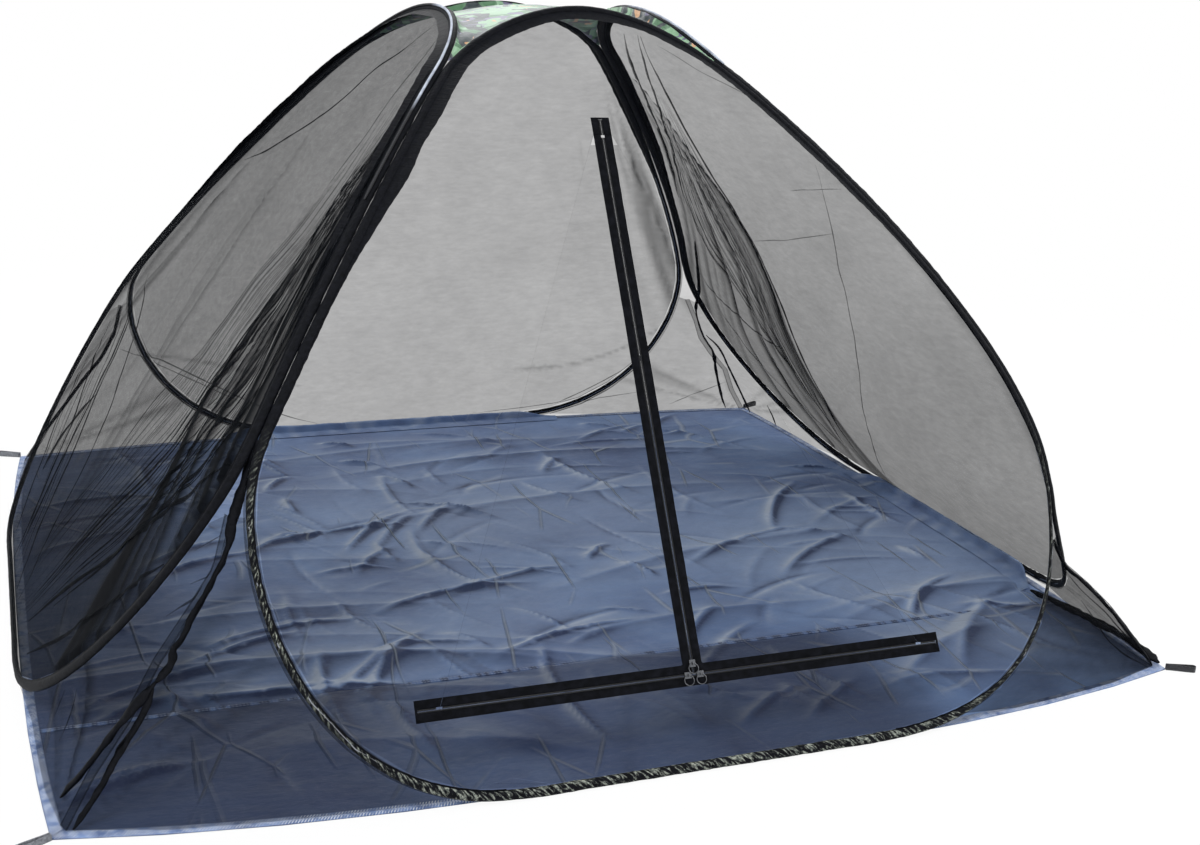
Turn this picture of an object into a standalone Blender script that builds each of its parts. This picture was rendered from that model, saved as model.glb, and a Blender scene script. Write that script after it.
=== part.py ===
"""Mosquito net tent: four bowed spring-steel hoops in sleeves, net walls, a crown cloth and a sewn-in floor.

Metres, +Z up. The door faces -Y, +X is to its right, and the ground is z = 0.
"""

import math

import bpy
import numpy as np

# Floor
FLOOR_HALF_WIDTH = 1.0
FLOOR_HALF_DEPTH = 0.9
FLOOR_THICKNESS = 0.0008
FLOOR_JOIN_IN = 0.334
FLOOR_JOIN_Y = FLOOR_JOIN_IN - FLOOR_HALF_DEPTH
FLOOR_SEAM_WIDTH = 0.012
FLOOR_SEAM_THICKNESS = 0.001
HEM_WIDTH = 0.018
HEM_THICKNESS = 0.001

# How far each hoop stands outside the line of the floor corners
FRONT_BULGE = 0.09
RIGHT_BULGE = 0.03
BACK_BULGE = 0.05
LEFT_BULGE = 0.035

# Hoop outline
PEAK_Y = 0.255
PEAK_X = 0.2
FRONT_PEAK_Z = 1.155
RIGHT_PEAK_DROP = 0.005
BACK_PEAK_DROP = 0.01
LEFT_PEAK_DROP = 0.015
CROWN_X = 0.28
CROWN_Y = 0.33
CROWN_DROP = 0.11
CROWN_Z = FRONT_PEAK_Z - CROWN_DROP
SPLIT_IN_Y = 0.075
SPLIT_IN_X_FL = 0.315
SPLIT_IN_X_FR = 0.27
SPLIT_IN_X_BR = 0.265
SPLIT_IN_X_BL = 0.295
SPLIT_Z_FL = 0.555
SPLIT_Z_FR = 0.365
SPLIT_Z_BR = 0.455
SPLIT_Z_BL = 0.485
CROWN_DROP_ANGLE = 0.55
SPLIT_FL_DROP_ANGLE = 0.73
SPLIT_FR_DROP_ANGLE = 1.33
SPLIT_BR_DROP_ANGLE = 1.02
SPLIT_BL_DROP_ANGLE = 0.8
CONTACT_HALF = 0.31
PEAK_HANDLE_FRONT = 0.115
PEAK_HANDLE_SIDE = 0.185
CROWN_TOP_HANDLE = 0.08
CROWN_DOWN_HANDLE = 0.15
SPLIT_UP_HANDLE = 0.28
SPLIT_LOW_HANDLE = 0.2
CONTACT_HANDLE = 0.34

# Sleeve, wire and ferrule
SLEEVE_WIDTH = 0.018
SLEEVE_THICKNESS = 0.011
SLEEVE_END_GAP = 0.001
WIRE_WIDTH = 0.006
WIRE_THICKNESS = 0.0015
FERRULE_LENGTH = 0.05
FERRULE_WALL = 0.0008
FIT_GAP = 0.0003
POCKET_TAPER = 0.001

# Net and crown cloth
NET_THICKNESS = 0.0012
NET_EDGE_GAP = 0.0007
WALL_SAG = 0.02
BACK_FOLD = 0.006
SIDE_FOLD = 0.008
CROWN_ARCH_SHARE = 0.35
CROWN_THICKNESS = 0.0012
PIPING_WIDTH = 0.006
PIPING_THICKNESS = 0.003
GUSSET_FIRST_WIDTH = 0.01
GUSSET_LAST_RISE = 0.004
SEAM_WIDTH = 0.008
SEAM_THICKNESS = 0.003
SEAM_WAVE = 0.006
SEAM_WAVES = 5.0
SEAM_SAG = 0.015
SEAM_FREE_SHARE = 0.7

# Door, measured in the sloping plane of the front net
DOOR_FOOT_Y = -(FLOOR_HALF_DEPTH + FRONT_BULGE)
DOOR_PEAK_STEP = 0.0055
DOOR_LEAN = (FLOOR_HALF_DEPTH + FRONT_BULGE - PEAK_Y - DOOR_PEAK_STEP) / FRONT_PEAK_Z
DOOR_PEAK_ROOM = 0.249588
DOOR_SILL = 0.1526
DOOR_TOP = FRONT_PEAK_Z * math.hypot(DOOR_LEAN, 1.0) - DOOR_PEAK_ROOM
DOOR_HALF_WIDTH = 0.43
CHAIN_SLOT = 0.0015
CHAIN_WIDTH = 0.0024
CHAIN_THICKNESS = 0.002
TAPE_WIDTH = 0.014
TAPE_THICKNESS = 0.0008
STUB_LENGTH = 0.034
STUB_CLEAR = 0.005
TAPE_LINK = 0.004
NET_TOP_SHORT = 0.02
SLIDER_LENGTH = 0.012
SLIDER_WIDTH = 0.0105
SLIDER_PLATE = 0.0012
SLIDER_FLANGE = 0.0008
STAPLE_WIDTH = 0.0016
STAPLE_BAR = 0.0012
PULL_RADIUS = 0.0085
PULL_WIRE = 0.0009
SLIDER_OFFSET = 0.011
SLIDER_RISE = 0.0185

# Corner loops
LOOP_LENGTH = 0.055
LOOP_HEIGHT = 0.012
LOOP_STRAP = 0.0014
LOOP_BEND = 0.005
LOOP_SEAT = 0.0004
LOOP_LEAN_SHARE = 0.5

# Shares along the runs of one hoop half, from the middle of the ground contact to the peak
LOWER_SHARES = (0.1, 0.21, 0.33, 0.45, 0.57, 0.69, 0.8, 0.9)
DOWN_SHARES = (0.0, 0.11, 0.24, 0.38, 0.52, 0.66, 0.8, 0.91)
TOP_SHARES = (0.0, 0.12, 0.34, 0.58, 0.8)
CONTACT_SHARES = (0.36, 0.68, 1.0)

# Shares across a wall, of its folds and of the front net's columns about the door
WALL_SHARES = (0.0, 0.08, 0.18, 0.29, 0.4, 0.5, 0.6, 0.71, 0.82, 0.92, 1.0)
FOLD_SHARES = (3.0, 0.15)
PEAK_NORMAL_SHARES = (0.5, 0.85)
FOOT_SPAN_SHARE = 0.75
FOOT_EDGE_SHARE = 0.06
LOW_INNER_SHARES = (0.55, 0.4)
LOW_OUTER_SHARES = (0.6, 0.4)
RIM_SHARES = (1.5, 0.8)
STUB_RIM_SHARE = 0.3
TIP_RIM_SHARE = 2.2
LOOP_OPEN_SHARES = (0.45, 0.55)

UP = np.array([0.0, 0.0, 1.0])


def material(name, colour, rough, metal):
    found = bpy.data.materials.get(name)
    if found:
        return found
    made = bpy.data.materials.new(name)
    made.use_nodes = True
    shader = made.node_tree.nodes["Principled BSDF"]
    shader.inputs["Base Color"].default_value = (*colour, 1.0)
    shader.inputs["Roughness"].default_value = rough
    shader.inputs["Metallic"].default_value = metal
    made.diffuse_color = (*colour, 1.0)
    return made


def black_fabric():
    return material("black_sleeve_fabric", (0.012, 0.012, 0.02), 0.8, 0.0)


def net_fabric():
    return material("black_net", (0.02, 0.02, 0.022), 0.9, 0.0)


def floor_fabric():
    return material("blue_grey_floor_fabric", (0.09, 0.13, 0.24), 0.4, 0.0)


def hem_fabric():
    return material("pale_blue_hem_fabric", (0.22, 0.31, 0.52), 0.7, 0.0)


def crown_fabric():
    return material("camouflage_crown_fabric", (0.3, 0.52, 0.32), 0.75, 0.0)


def piping_fabric():
    return material("pale_piping_fabric", (0.45, 0.48, 0.55), 0.7, 0.0)


def zip_tape_fabric():
    return material("black_zip_tape_fabric", (0.012, 0.012, 0.018), 0.85, 0.0)


def zip_plastic():
    return material("black_zip_chain_plastic", (0.015, 0.015, 0.02), 0.45, 0.0)


def nickel():
    return material("slider_nickel", (0.62, 0.61, 0.58), 0.28, 1.0)


def spring_steel():
    return material("spring_steel", (0.32, 0.33, 0.35), 0.35, 1.0)


def crimp_steel():
    return material("ferrule_steel", (0.5, 0.5, 0.5), 0.4, 1.0)


def webbing():
    return material("black_webbing_fabric", (0.02, 0.02, 0.025), 0.9, 0.0)


def grey_webbing():
    return material("grey_webbing_fabric", (0.25, 0.25, 0.26), 0.9, 0.0)


def unit(vector):
    return vector / np.linalg.norm(vector)


def smooth(share):
    share = np.clip(share, 0.0, 1.0)
    return share * share * (3.0 - 2.0 * share)


def facing_out(points, faces):
    """The faces as they are, or all turned over where together they enclose their volume inside out."""
    volume = 0.0
    for face in faces:
        for k in range(1, len(face) - 1):
            volume += np.dot(points[face[0]], np.cross(points[face[k]], points[face[k + 1]]))
    return faces if volume > 0.0 else [tuple(face)[::-1] for face in faces]


def add_object(name, points, faces, stuff):
    points = np.asarray(points, float)
    faces = facing_out(points, faces)
    mesh = bpy.data.meshes.new(name)
    mesh.from_pydata([tuple(float(v) for v in p) for p in points], [], [tuple(f) for f in faces])
    mesh.validate()
    mesh.materials.append(stuff)
    made = bpy.data.objects.new(name, mesh)
    bpy.context.scene.collection.objects.link(made)
    return made


def triangles(faces):
    out = []
    for face in faces:
        if len(face) == 3:
            out.append(tuple(face))
        else:
            out.append((face[0], face[1], face[2]))
            out.append((face[0], face[2], face[3]))
    return out


def thick_sheet(name, points, faces, thickness, stuff, normals=None):
    """Closed sheet about a middle surface; every open edge of the surface gets a wall."""
    points = np.asarray(points, float)
    faces = triangles(faces)
    if normals is None:
        normals = np.zeros_like(points)
        for a, b, c in faces:
            area = np.cross(points[b] - points[a], points[c] - points[a])
            normals[a] += area
            normals[b] += area
            normals[c] += area
        normals /= np.linalg.norm(normals, axis=1)[:, None]
    count = len(points)
    solid = np.vstack([points + normals * thickness / 2, points - normals * thickness / 2])
    out = list(faces)
    out += [(c + count, b + count, a + count) for a, b, c in faces]
    edges = {}
    for face in faces:
        for a, b in zip(face, face[1:] + face[:1]):
            edges[(a, b)] = edges.get((a, b), 0) + 1
    for a, b in edges:
        if (b, a) not in edges:
            out.append((b, a, a + count))
            out.append((b, a + count, b + count))
    return add_object(name, solid, out, stuff)


def grid_faces(rows, cols, keep=None):
    out = []
    for r in range(rows - 1):
        for c in range(cols - 1):
            if keep is None or keep(r, c):
                a = r * cols + c
                out.append((a, a + 1, a + cols + 1, a + cols))
    return out


def used_only(points, faces):
    used = sorted({i for face in faces for i in face})
    place = {old: new for new, old in enumerate(used)}
    return np.asarray(points, float)[used], [tuple(place[i] for i in face) for face in faces]


def swept_bar(name, rings, stuff):
    """Closed bar through rings that all hold the same number of points."""
    rings = np.asarray(rings, float)
    count, around = rings.shape[:2]
    faces = []
    for r in range(count - 1):
        for k in range(around):
            a = r * around + k
            b = r * around + (k + 1) % around
            faces.append((a, b, b + around, a + around))
    faces = triangles(faces)
    first = list(range(around))[::-1]
    last = [(count - 1) * around + k for k in range(around)]
    return add_object(name, rings.reshape(-1, 3), [*faces, first, last], stuff)


def tube_with_pocket(name, outer, inner, stuff):
    """Open-ended tube: rings of six points outside, rings of four points inside."""
    outer = np.asarray(outer, float)
    inner = np.asarray(inner, float)
    count = len(outer)
    base = count * 6
    faces = []
    for r in range(count - 1):
        for k in range(6):
            a = r * 6 + k
            b = r * 6 + (k + 1) % 6
            faces.append((a, b, b + 6, a + 6))
        for k in range(4):
            a = base + r * 4 + k
            b = base + r * 4 + (k + 1) % 4
            faces.append((a, a + 4, b + 4, b))
    faces = triangles(faces)
    for end, turn in ((0, -1), (count - 1, 1)):
        o = [end * 6 + k for k in range(6)]
        i = [base + end * 4 + k for k in range(4)]
        cap = [(o[0], o[1], i[0]), (o[1], o[2], i[1], i[0]), (o[2], o[3], i[1]), (o[3], i[2], i[1])]
        cap += [(o[3], o[4], i[2]), (o[4], o[5], i[3], i[2]), (o[5], o[0], i[3]), (o[0], i[0], i[3])]
        for face in triangles(cap):
            faces.append(face[::turn])
    return add_object(name, np.vstack([outer.reshape(-1, 3), inner.reshape(-1, 3)]), faces, stuff)


def bezier(a, b, c, d, share):
    rest = 1.0 - share
    return a * rest**3 + b * (3.0 * rest**2 * share) + c * (3.0 * rest * share**2) + d * share**3


CORNERS = {
    "front_left": (-1.0, -1.0, SPLIT_IN_X_FL, SPLIT_Z_FL, SPLIT_FL_DROP_ANGLE),
    "front_right": (1.0, -1.0, SPLIT_IN_X_FR, SPLIT_Z_FR, SPLIT_FR_DROP_ANGLE),
    "back_right": (1.0, 1.0, SPLIT_IN_X_BR, SPLIT_Z_BR, SPLIT_BR_DROP_ANGLE),
    "back_left": (-1.0, 1.0, SPLIT_IN_X_BL, SPLIT_Z_BL, SPLIT_BL_DROP_ANGLE),
}

SIDES = {
    "front": (np.array([0.0, -1.0, 0.0]), "front_left", "front_right"),
    "right": (np.array([1.0, 0.0, 0.0]), "front_right", "back_right"),
    "back": (np.array([0.0, 1.0, 0.0]), "back_right", "back_left"),
    "left": (np.array([-1.0, 0.0, 0.0]), "back_left", "front_left"),
}

REACH = {
    "front": (FLOOR_HALF_DEPTH, FRONT_BULGE, PEAK_Y, FRONT_PEAK_Z, PEAK_HANDLE_FRONT),
    "right": (FLOOR_HALF_WIDTH, RIGHT_BULGE, PEAK_X, FRONT_PEAK_Z - RIGHT_PEAK_DROP, PEAK_HANDLE_SIDE),
    "back": (FLOOR_HALF_DEPTH, BACK_BULGE, PEAK_Y, FRONT_PEAK_Z - BACK_PEAK_DROP, PEAK_HANDLE_FRONT),
    "left": (FLOOR_HALF_WIDTH, LEFT_BULGE, PEAK_X, FRONT_PEAK_Z - LEFT_PEAK_DROP, PEAK_HANDLE_SIDE),
}


def corner_frame(corner):
    """Crown point, split point, plan direction outward, and the drop of the ridge at both."""
    sx, sy, split_in, split_z, angle = CORNERS[corner]
    crown = np.array([sx * CROWN_X, sy * CROWN_Y, CROWN_Z])
    split = np.array([sx * (FLOOR_HALF_WIDTH - split_in), sy * (FLOOR_HALF_DEPTH - SPLIT_IN_Y), split_z])
    plan = split - crown
    plan[2] = 0.0
    plan = unit(plan)
    crown_down = plan * math.cos(CROWN_DROP_ANGLE) - UP * math.sin(CROWN_DROP_ANGLE)
    split_down = plan * math.cos(angle) - UP * math.sin(angle)
    return crown, split, plan, crown_down, split_down


def aside(side, corner):
    """Level direction square to the corner ridge, pointing to the panel of this side."""
    outward = SIDES[side][0]
    plan = corner_frame(corner)[2]
    across = np.cross(UP, plan)
    return across if np.dot(across, outward) > 0.0 else -across


def ridge_normal(offset, down):
    """The upward one of the two directions square to the ridge and to the way across it."""
    square = np.cross(offset, down)
    return unit(square * np.sign(square[2]))


def half_hoop(side, corner):
    """Points from the middle of the ground contact up to the peak, with outward normals."""
    outward = SIDES[side][0]
    along = np.cross(UP, outward)
    sign = 1.0 if corner == SIDES[side][2] else -1.0
    along = along * sign
    half, bulge, peak_in, peak_z, peak_handle = REACH[side]
    crown, split, plan, crown_down, split_down = corner_frame(corner)
    middle = outward * (half + bulge)
    landing = middle + along * CONTACT_HALF
    peak = outward * peak_in + UP * peak_z
    offset = aside(side, corner) * (SLEEVE_WIDTH + FIT_GAP) / 2.0
    peak_normal = outward * PEAK_NORMAL_SHARES[0] + UP * PEAK_NORMAL_SHARES[1]
    points = []
    normals = []
    pocket = FERRULE_LENGTH / 2.0 + FIT_GAP
    close = (SLEEVE_END_GAP / 2.0, pocket, pocket + POCKET_TAPER)
    for step in [*close, *(CONTACT_HALF * s for s in CONTACT_SHARES)]:
        points.append(middle + along * step + UP * SLEEVE_WIDTH / 2.0)
        normals.append(outward)
    low_normal = ridge_normal(offset, split_down)
    for share in LOWER_SHARES:
        bend = split + split_down * SPLIT_LOW_HANDLE
        p = bezier(landing, landing + along * CONTACT_HANDLE, bend, split, share)
        fade = smooth(share)
        points.append(p + offset * fade + UP * (SLEEVE_WIDTH / 2.0 * (1.0 - fade)))
        normals.append(outward * (1.0 - fade) + low_normal * fade)
    high_normal = ridge_normal(offset, crown_down)
    for share in DOWN_SHARES:
        start = split - split_down * SPLIT_UP_HANDLE
        p = bezier(split, start, crown + crown_down * CROWN_DOWN_HANDLE, crown, share)
        points.append(p + offset)
        normals.append(low_normal * (1.0 - share) + high_normal * share)
    for share in TOP_SHARES:
        start = crown - crown_down * CROWN_TOP_HANDLE
        p = bezier(crown, start, peak + along * peak_handle, peak, share)
        fade = smooth(share)
        points.append(p + offset * (1.0 - fade))
        normals.append(high_normal * (1.0 - fade) + peak_normal * fade)
    return points, normals, peak, peak_normal


def hoop_frames(side):
    """Stations once round the hoop from its ground middle: place, run, normal, outward in its plane."""
    _, start_corner, end_corner = SIDES[side]
    right_points, right_normals, peak, peak_normal = half_hoop(side, end_corner)
    left_points, left_normals, _, _ = half_hoop(side, start_corner)
    points = np.array([*right_points, peak, *left_points[::-1]])
    normals = np.array([*right_normals, peak_normal, *left_normals[::-1]])
    run = np.empty_like(points)
    run[1:-1] = points[2:] - points[:-2]
    run[0] = points[1] - points[0]
    run[-1] = points[-1] - points[-2]
    for k in range(1, len(points) - 1):
        before = unit(points[k] - points[k - 1])
        after = unit(points[k + 1] - points[k])
        run[k] = before + after
    run /= np.linalg.norm(run, axis=1)[:, None]
    normals = normals - run * (normals * run).sum(1)[:, None]
    normals /= np.linalg.norm(normals, axis=1)[:, None]
    return points, run, normals, np.cross(run, normals)


FRAMES = {}


def frames(side):
    if side not in FRAMES:
        FRAMES[side] = hoop_frames(side)
    return FRAMES[side]


def profile_rings(side, half_in_plane, half_normal, first=0, last=None, hexagon=False):
    points, _, normals, outward = frames(side)
    last = len(points) if last is None else last
    rings = []
    for k in range(first, last):
        a = half_in_plane[k] if hasattr(half_in_plane, "__len__") else half_in_plane
        b = half_normal[k] if hasattr(half_normal, "__len__") else half_normal
        if hexagon:
            spots = ((a, 0.0), (a / 2, b), (-a / 2, b), (-a, 0.0), (-a / 2, -b), (a / 2, -b))
        else:
            spots = ((a, b), (-a, b), (-a, -b), (a, -b))
        rings.append([points[k] + outward[k] * s + normals[k] * t for s, t in spots])
    return rings


def make_sleeve(side):
    count = len(frames(side)[0])
    in_plane = [WIRE_THICKNESS / 2 + FIT_GAP] * count
    across = [WIRE_WIDTH / 2 + FIT_GAP] * count
    for k in (0, 1, count - 2, count - 1):
        in_plane[k] = WIRE_THICKNESS / 2 + FERRULE_WALL + 2 * FIT_GAP
        across[k] = WIRE_WIDTH / 2 + FERRULE_WALL + 2 * FIT_GAP
    outer = profile_rings(side, SLEEVE_WIDTH / 2, SLEEVE_THICKNESS / 2, hexagon=True)
    inner = profile_rings(side, in_plane, across)
    return tube_with_pocket("sleeve_" + side, outer, inner, black_fabric())


def make_wire(side):
    rings = profile_rings(side, WIRE_THICKNESS / 2, WIRE_WIDTH / 2)
    return swept_bar("hoop_wire_" + side, rings, spring_steel())


def make_ferrule(side):
    points, run, normals, outward = frames(side)
    middle = (points[0] + points[-1]) / 2
    along = run[0]
    ends = [middle - along * FERRULE_LENGTH / 2, middle + along * FERRULE_LENGTH / 2]
    rings = []
    for wall in (FIT_GAP + FERRULE_WALL, FIT_GAP):
        a = WIRE_THICKNESS / 2 + wall
        b = WIRE_WIDTH / 2 + wall
        for end in ends:
            spots = ((a, b), (-a, b), (-a, -b), (a, -b))
            rings.append([end + outward[0] * s + normals[0] * t for s, t in spots])
    spots = np.array(rings).reshape(-1, 3)
    faces = []
    for k in range(4):
        n = (k + 1) % 4
        faces.append((k, n, n + 4, k + 4))
        faces.append((k + 8, k + 12, n + 12, n + 8))
        faces.append((k, k + 8, n + 8, n))
        faces.append((k + 4, n + 4, n + 12, k + 12))
    return add_object("ferrule_" + side, spots, triangles(faces), crimp_steel())


def inner_edge(side, k):
    points, _, _, outward = frames(side)
    return points[k] - outward[k] * (SLEEVE_WIDTH / 2 + NET_EDGE_GAP)


def outer_edge(side, k):
    points, _, _, outward = frames(side)
    return points[k] + outward[k] * (SLEEVE_WIDTH / 2 + NET_EDGE_GAP)


LANDING = 5
PEAK = len(CONTACT_SHARES) + 3 + len(LOWER_SHARES) + len(DOWN_SHARES) + len(TOP_SHARES)
SPLIT = LANDING + 1 + len(LOWER_SHARES)
CROWN = SPLIT + len(DOWN_SHARES)


def wall_grid(side):
    """Rows from the ground line to the row under the peak, plus the peak point."""
    last = 2 * PEAK
    outward = SIDES[side][0]
    rows = []
    for k in range(LANDING, PEAK):
        a = inner_edge(side, last - k)
        b = inner_edge(side, k)
        lift = math.sin(math.pi * (k - LANDING) / (PEAK - LANDING))
        row = []
        for share in WALL_SHARES:
            p = a * (1.0 - share) + b * share
            pull = math.sin(math.pi * share) * lift
            row.append(p - outward * WALL_SAG * pull)
        rows.append(row)
    return rows


def make_wall(side, fold):
    rows = np.array(wall_grid(side))
    count, cols = rows.shape[:2]
    outward = SIDES[side][0]
    for r in range(1, count):
        for c in range(1, cols - 1):
            high = math.sin(math.pi * r / count)
            wave = math.sin(2.0 * math.pi * (WALL_SHARES[c] * FOLD_SHARES[0] + r * FOLD_SHARES[1]))
            rows[r, c] -= outward * fold * high * wave
    points = [*rows.reshape(-1, 3), inner_edge(side, PEAK)]
    faces = grid_faces(count, cols)
    top = (count - 1) * cols
    for c in range(cols - 1):
        faces.append((top + c, top + c + 1, len(points) - 1))
    return thick_sheet(side + "_net", points, faces, NET_THICKNESS, net_fabric())


DOOR_RUN = math.hypot(DOOR_LEAN, 1.0)
DOOR_UP = np.array([0.0, DOOR_LEAN / DOOR_RUN, 1.0 / DOOR_RUN])
DOOR_OUT = np.array([0.0, -1.0 / DOOR_RUN, DOOR_LEAN / DOOR_RUN])
ZIP_HALF = CHAIN_SLOT / 2 + CHAIN_WIDTH + FIT_GAP + TAPE_WIDTH


def door_point(x, height, out=0.0):
    """A place in the door plane: across, up the slope, and out of it."""
    foot = np.array([0.0, DOOR_FOOT_Y, 0.0])
    return foot + np.array([x, 0.0, 0.0]) + DOOR_UP * height + DOOR_OUT * out


def fold_x(height):
    """Half width of the door opening at this height: from beside the top of the zip to the sill's end."""
    share = (height - DOOR_SILL) / (DOOR_TOP - DOOR_SILL)
    return DOOR_HALF_WIDTH + (ZIP_HALF + FIT_GAP - DOOR_HALF_WIDTH) * share


BAND_LOW = DOOR_SILL - ZIP_HALF - FIT_GAP
BAND_HIGH = DOOR_SILL + ZIP_HALF + FIT_GAP
STUB_START = DOOR_HALF_WIDTH + STUB_CLEAR
BAND_END = STUB_START + STUB_LENGTH + FIT_GAP
STUB_TOP = DOOR_TOP + STUB_LENGTH
NOTCH_X = ZIP_HALF + FIT_GAP


def front_rows():
    """For each row of the front net: height in the door plane and the two inner column places."""
    heights = []
    for k in range(LANDING + 1, PEAK):
        heights.append(inner_edge("front", k)[2] * DOOR_RUN)
    wanted = [BAND_LOW, BAND_HIGH, DOOR_TOP, STUB_TOP + FIT_GAP]
    taken = []
    for target in wanted:
        spare = [i for i in range(len(heights)) if i not in taken and (not taken or i > taken[-1])]
        best = min(spare, key=lambda i: abs(heights[i] - target))
        taken.append(best)
        heights[best] = target
    for i in range(len(heights)):
        if i in taken:
            continue
        below = [j for j in taken if j < i]
        above = [j for j in taken if j > i]
        low = heights[below[-1]] if below else 0.0
        if above:
            high = heights[above[0]]
            first = below[-1] if below else -1
            share = (i - first) / (above[0] - first)
            heights[i] = low + (high - low) * share
    return heights, taken


def make_front_net():
    heights, taken = front_rows()
    band_low, band_high, top, stub_top = taken
    last = 2 * PEAK
    rows = []
    landing_a = inner_edge("front", last - LANDING)
    landing_b = inner_edge("front", LANDING)
    widest = BAND_END
    first = []
    for x in (-widest, -DOOR_HALF_WIDTH, 0.0, DOOR_HALF_WIDTH, widest):
        share = 0.5 + 0.5 * x / (widest / FOOT_SPAN_SHARE)
        first.append(landing_a * (1 - share) + landing_b * share)
    next_a = landing_a + (landing_b - landing_a) * FOOT_EDGE_SHARE
    next_b = landing_b + (landing_a - landing_b) * FOOT_EDGE_SHARE
    rows.append([landing_a, next_a, *first, next_b, landing_b])
    for i, height in enumerate(heights):
        k = LANDING + 1 + i
        a = inner_edge("front", last - k)
        b = inner_edge("front", k)
        if i < band_low:
            rise = (i + 1) / (band_low + 1)
            inner_x = DOOR_HALF_WIDTH * (LOW_INNER_SHARES[0] + LOW_INNER_SHARES[1] * rise)
            outer_x = BAND_END * (LOW_OUTER_SHARES[0] + LOW_OUTER_SHARES[1] * rise)
        elif i == band_low:
            inner_x = DOOR_HALF_WIDTH
            outer_x = BAND_END
        elif i == band_high:
            inner_x = fold_x(height) + FIT_GAP
            outer_x = BAND_END
        elif i <= top:
            inner_x = fold_x(height) + FIT_GAP if i < top else NOTCH_X
            rise = (i - band_high) / (top - band_high)
            outer_x = inner_x + (BAND_END - DOOR_HALF_WIDTH) * RIM_SHARES[0] * (1.0 - RIM_SHARES[1] * rise)
        elif i <= stub_top:
            inner_x = NOTCH_X
            outer_x = NOTCH_X + (BAND_END - DOOR_HALF_WIDTH) * STUB_RIM_SHARE
        else:
            left = (PEAK - k) / (PEAK - LANDING - 1 - stub_top)
            inner_x = NOTCH_X * left
            outer_x = inner_x * TIP_RIM_SHARE
        share = max(0.0, (i - stub_top) / (len(heights) - stub_top))
        lift = np.array([0.0, ((a[1] + b[1]) / 2 - door_point(0.0, height)[1]) * share, 0.0])
        spots = [door_point(x, height) + lift for x in (-outer_x, -inner_x, 0.0, inner_x, outer_x)]
        rows.append([a, (a + spots[0]) / 2, *spots, (b + spots[-1]) / 2, b])
    rows = np.array(rows)
    cols = 9
    hole = {}
    for c in (3, 4):
        for r in range(band_low + 1, stub_top + 1):
            hole[(r, c)] = True
    for c in (2, 5):
        for r in range(band_low + 1, band_high + 1):
            hole[(r, c)] = True
    faces = grid_faces(len(rows), cols, lambda r, c: (r, c) not in hole)
    points = [*rows.reshape(-1, 3), inner_edge("front", PEAK)]
    top_row = (len(rows) - 1) * cols
    for c in range(cols - 1):
        faces.append((top_row + c, top_row + c + 1, len(points) - 1))
    points, faces = used_only(points, faces)
    return thick_sheet("front_net", points, faces, NET_THICKNESS, net_fabric())


def door_plate(name, outline, low, high, stuff):
    """Plate between two distances from the door plane; the outline runs round it in (across, height)."""
    count = len(outline)
    points = [door_point(x, h, high) for x, h in outline] + [door_point(x, h, low) for x, h in outline]
    turn = sum(a[0] * b[1] - b[0] * a[1] for a, b in zip(outline, outline[1:] + outline[:1]))
    order = list(range(count))
    if turn < 0:
        order = order[::-1]
    faces = [tuple(order), tuple(i + count for i in order[::-1])]
    for a, b in zip(order, order[1:] + order[:1]):
        faces.append((b, a, a + count, b + count))
    return add_object(name, points, faces, stuff)


def flap_outlines(s):
    """Outlines of the net, the tape and the chain of the door flap on side s (-1 left, 1 right)."""
    chain_in = CHAIN_SLOT / 2
    chain_out = chain_in + CHAIN_WIDTH
    tape_in = chain_out + FIT_GAP
    tape_out = tape_in + TAPE_WIDTH
    sill = DOOR_SILL
    net_low = sill + tape_out + FIT_GAP
    net_in = tape_out + FIT_GAP
    net_top = DOOR_TOP - NET_TOP_SHORT
    end = [fold_x(h) - FIT_GAP for h in (net_low, net_top, sill + tape_in, sill + tape_out)]
    net = [(net_in, net_low), (end[0], net_low), (end[1], net_top), (net_in, net_top)]
    tape = [(tape_in, sill + tape_in), (end[2], sill + tape_in), (end[3], sill + tape_out)]
    tape += [(tape_out, sill + tape_out), (tape_out, DOOR_TOP - FIT_GAP), (tape_in, DOOR_TOP - FIT_GAP)]
    far = DOOR_HALF_WIDTH - STUB_CLEAR
    high = DOOR_TOP - STUB_CLEAR
    chain = [(chain_in, sill + chain_in), (far, sill + chain_in), (far, sill + chain_out)]
    chain += [(chain_out, sill + chain_out), (chain_out, high), (chain_in, high)]
    return [[(s * x, h) for x, h in shape] for shape in (net, tape, chain)]


def make_flap(s, word):
    net, tape, chain = flap_outlines(s)
    half_tape = TAPE_THICKNESS / 2
    half_chain = CHAIN_THICKNESS / 2
    door_plate(word + "_flap_net", net, -NET_THICKNESS / 2, NET_THICKNESS / 2, net_fabric())
    door_plate(word + "_flap_zip_tape", tape, -half_tape, half_tape, zip_tape_fabric())
    door_plate(word + "_flap_zip_chain", chain, -half_chain, half_chain, zip_plastic())


def both_sides(half):
    """A closed outline from its right half, which starts and ends on the middle line's side."""
    return half + [(-x, h) for x, h in half[::-1]]


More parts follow.
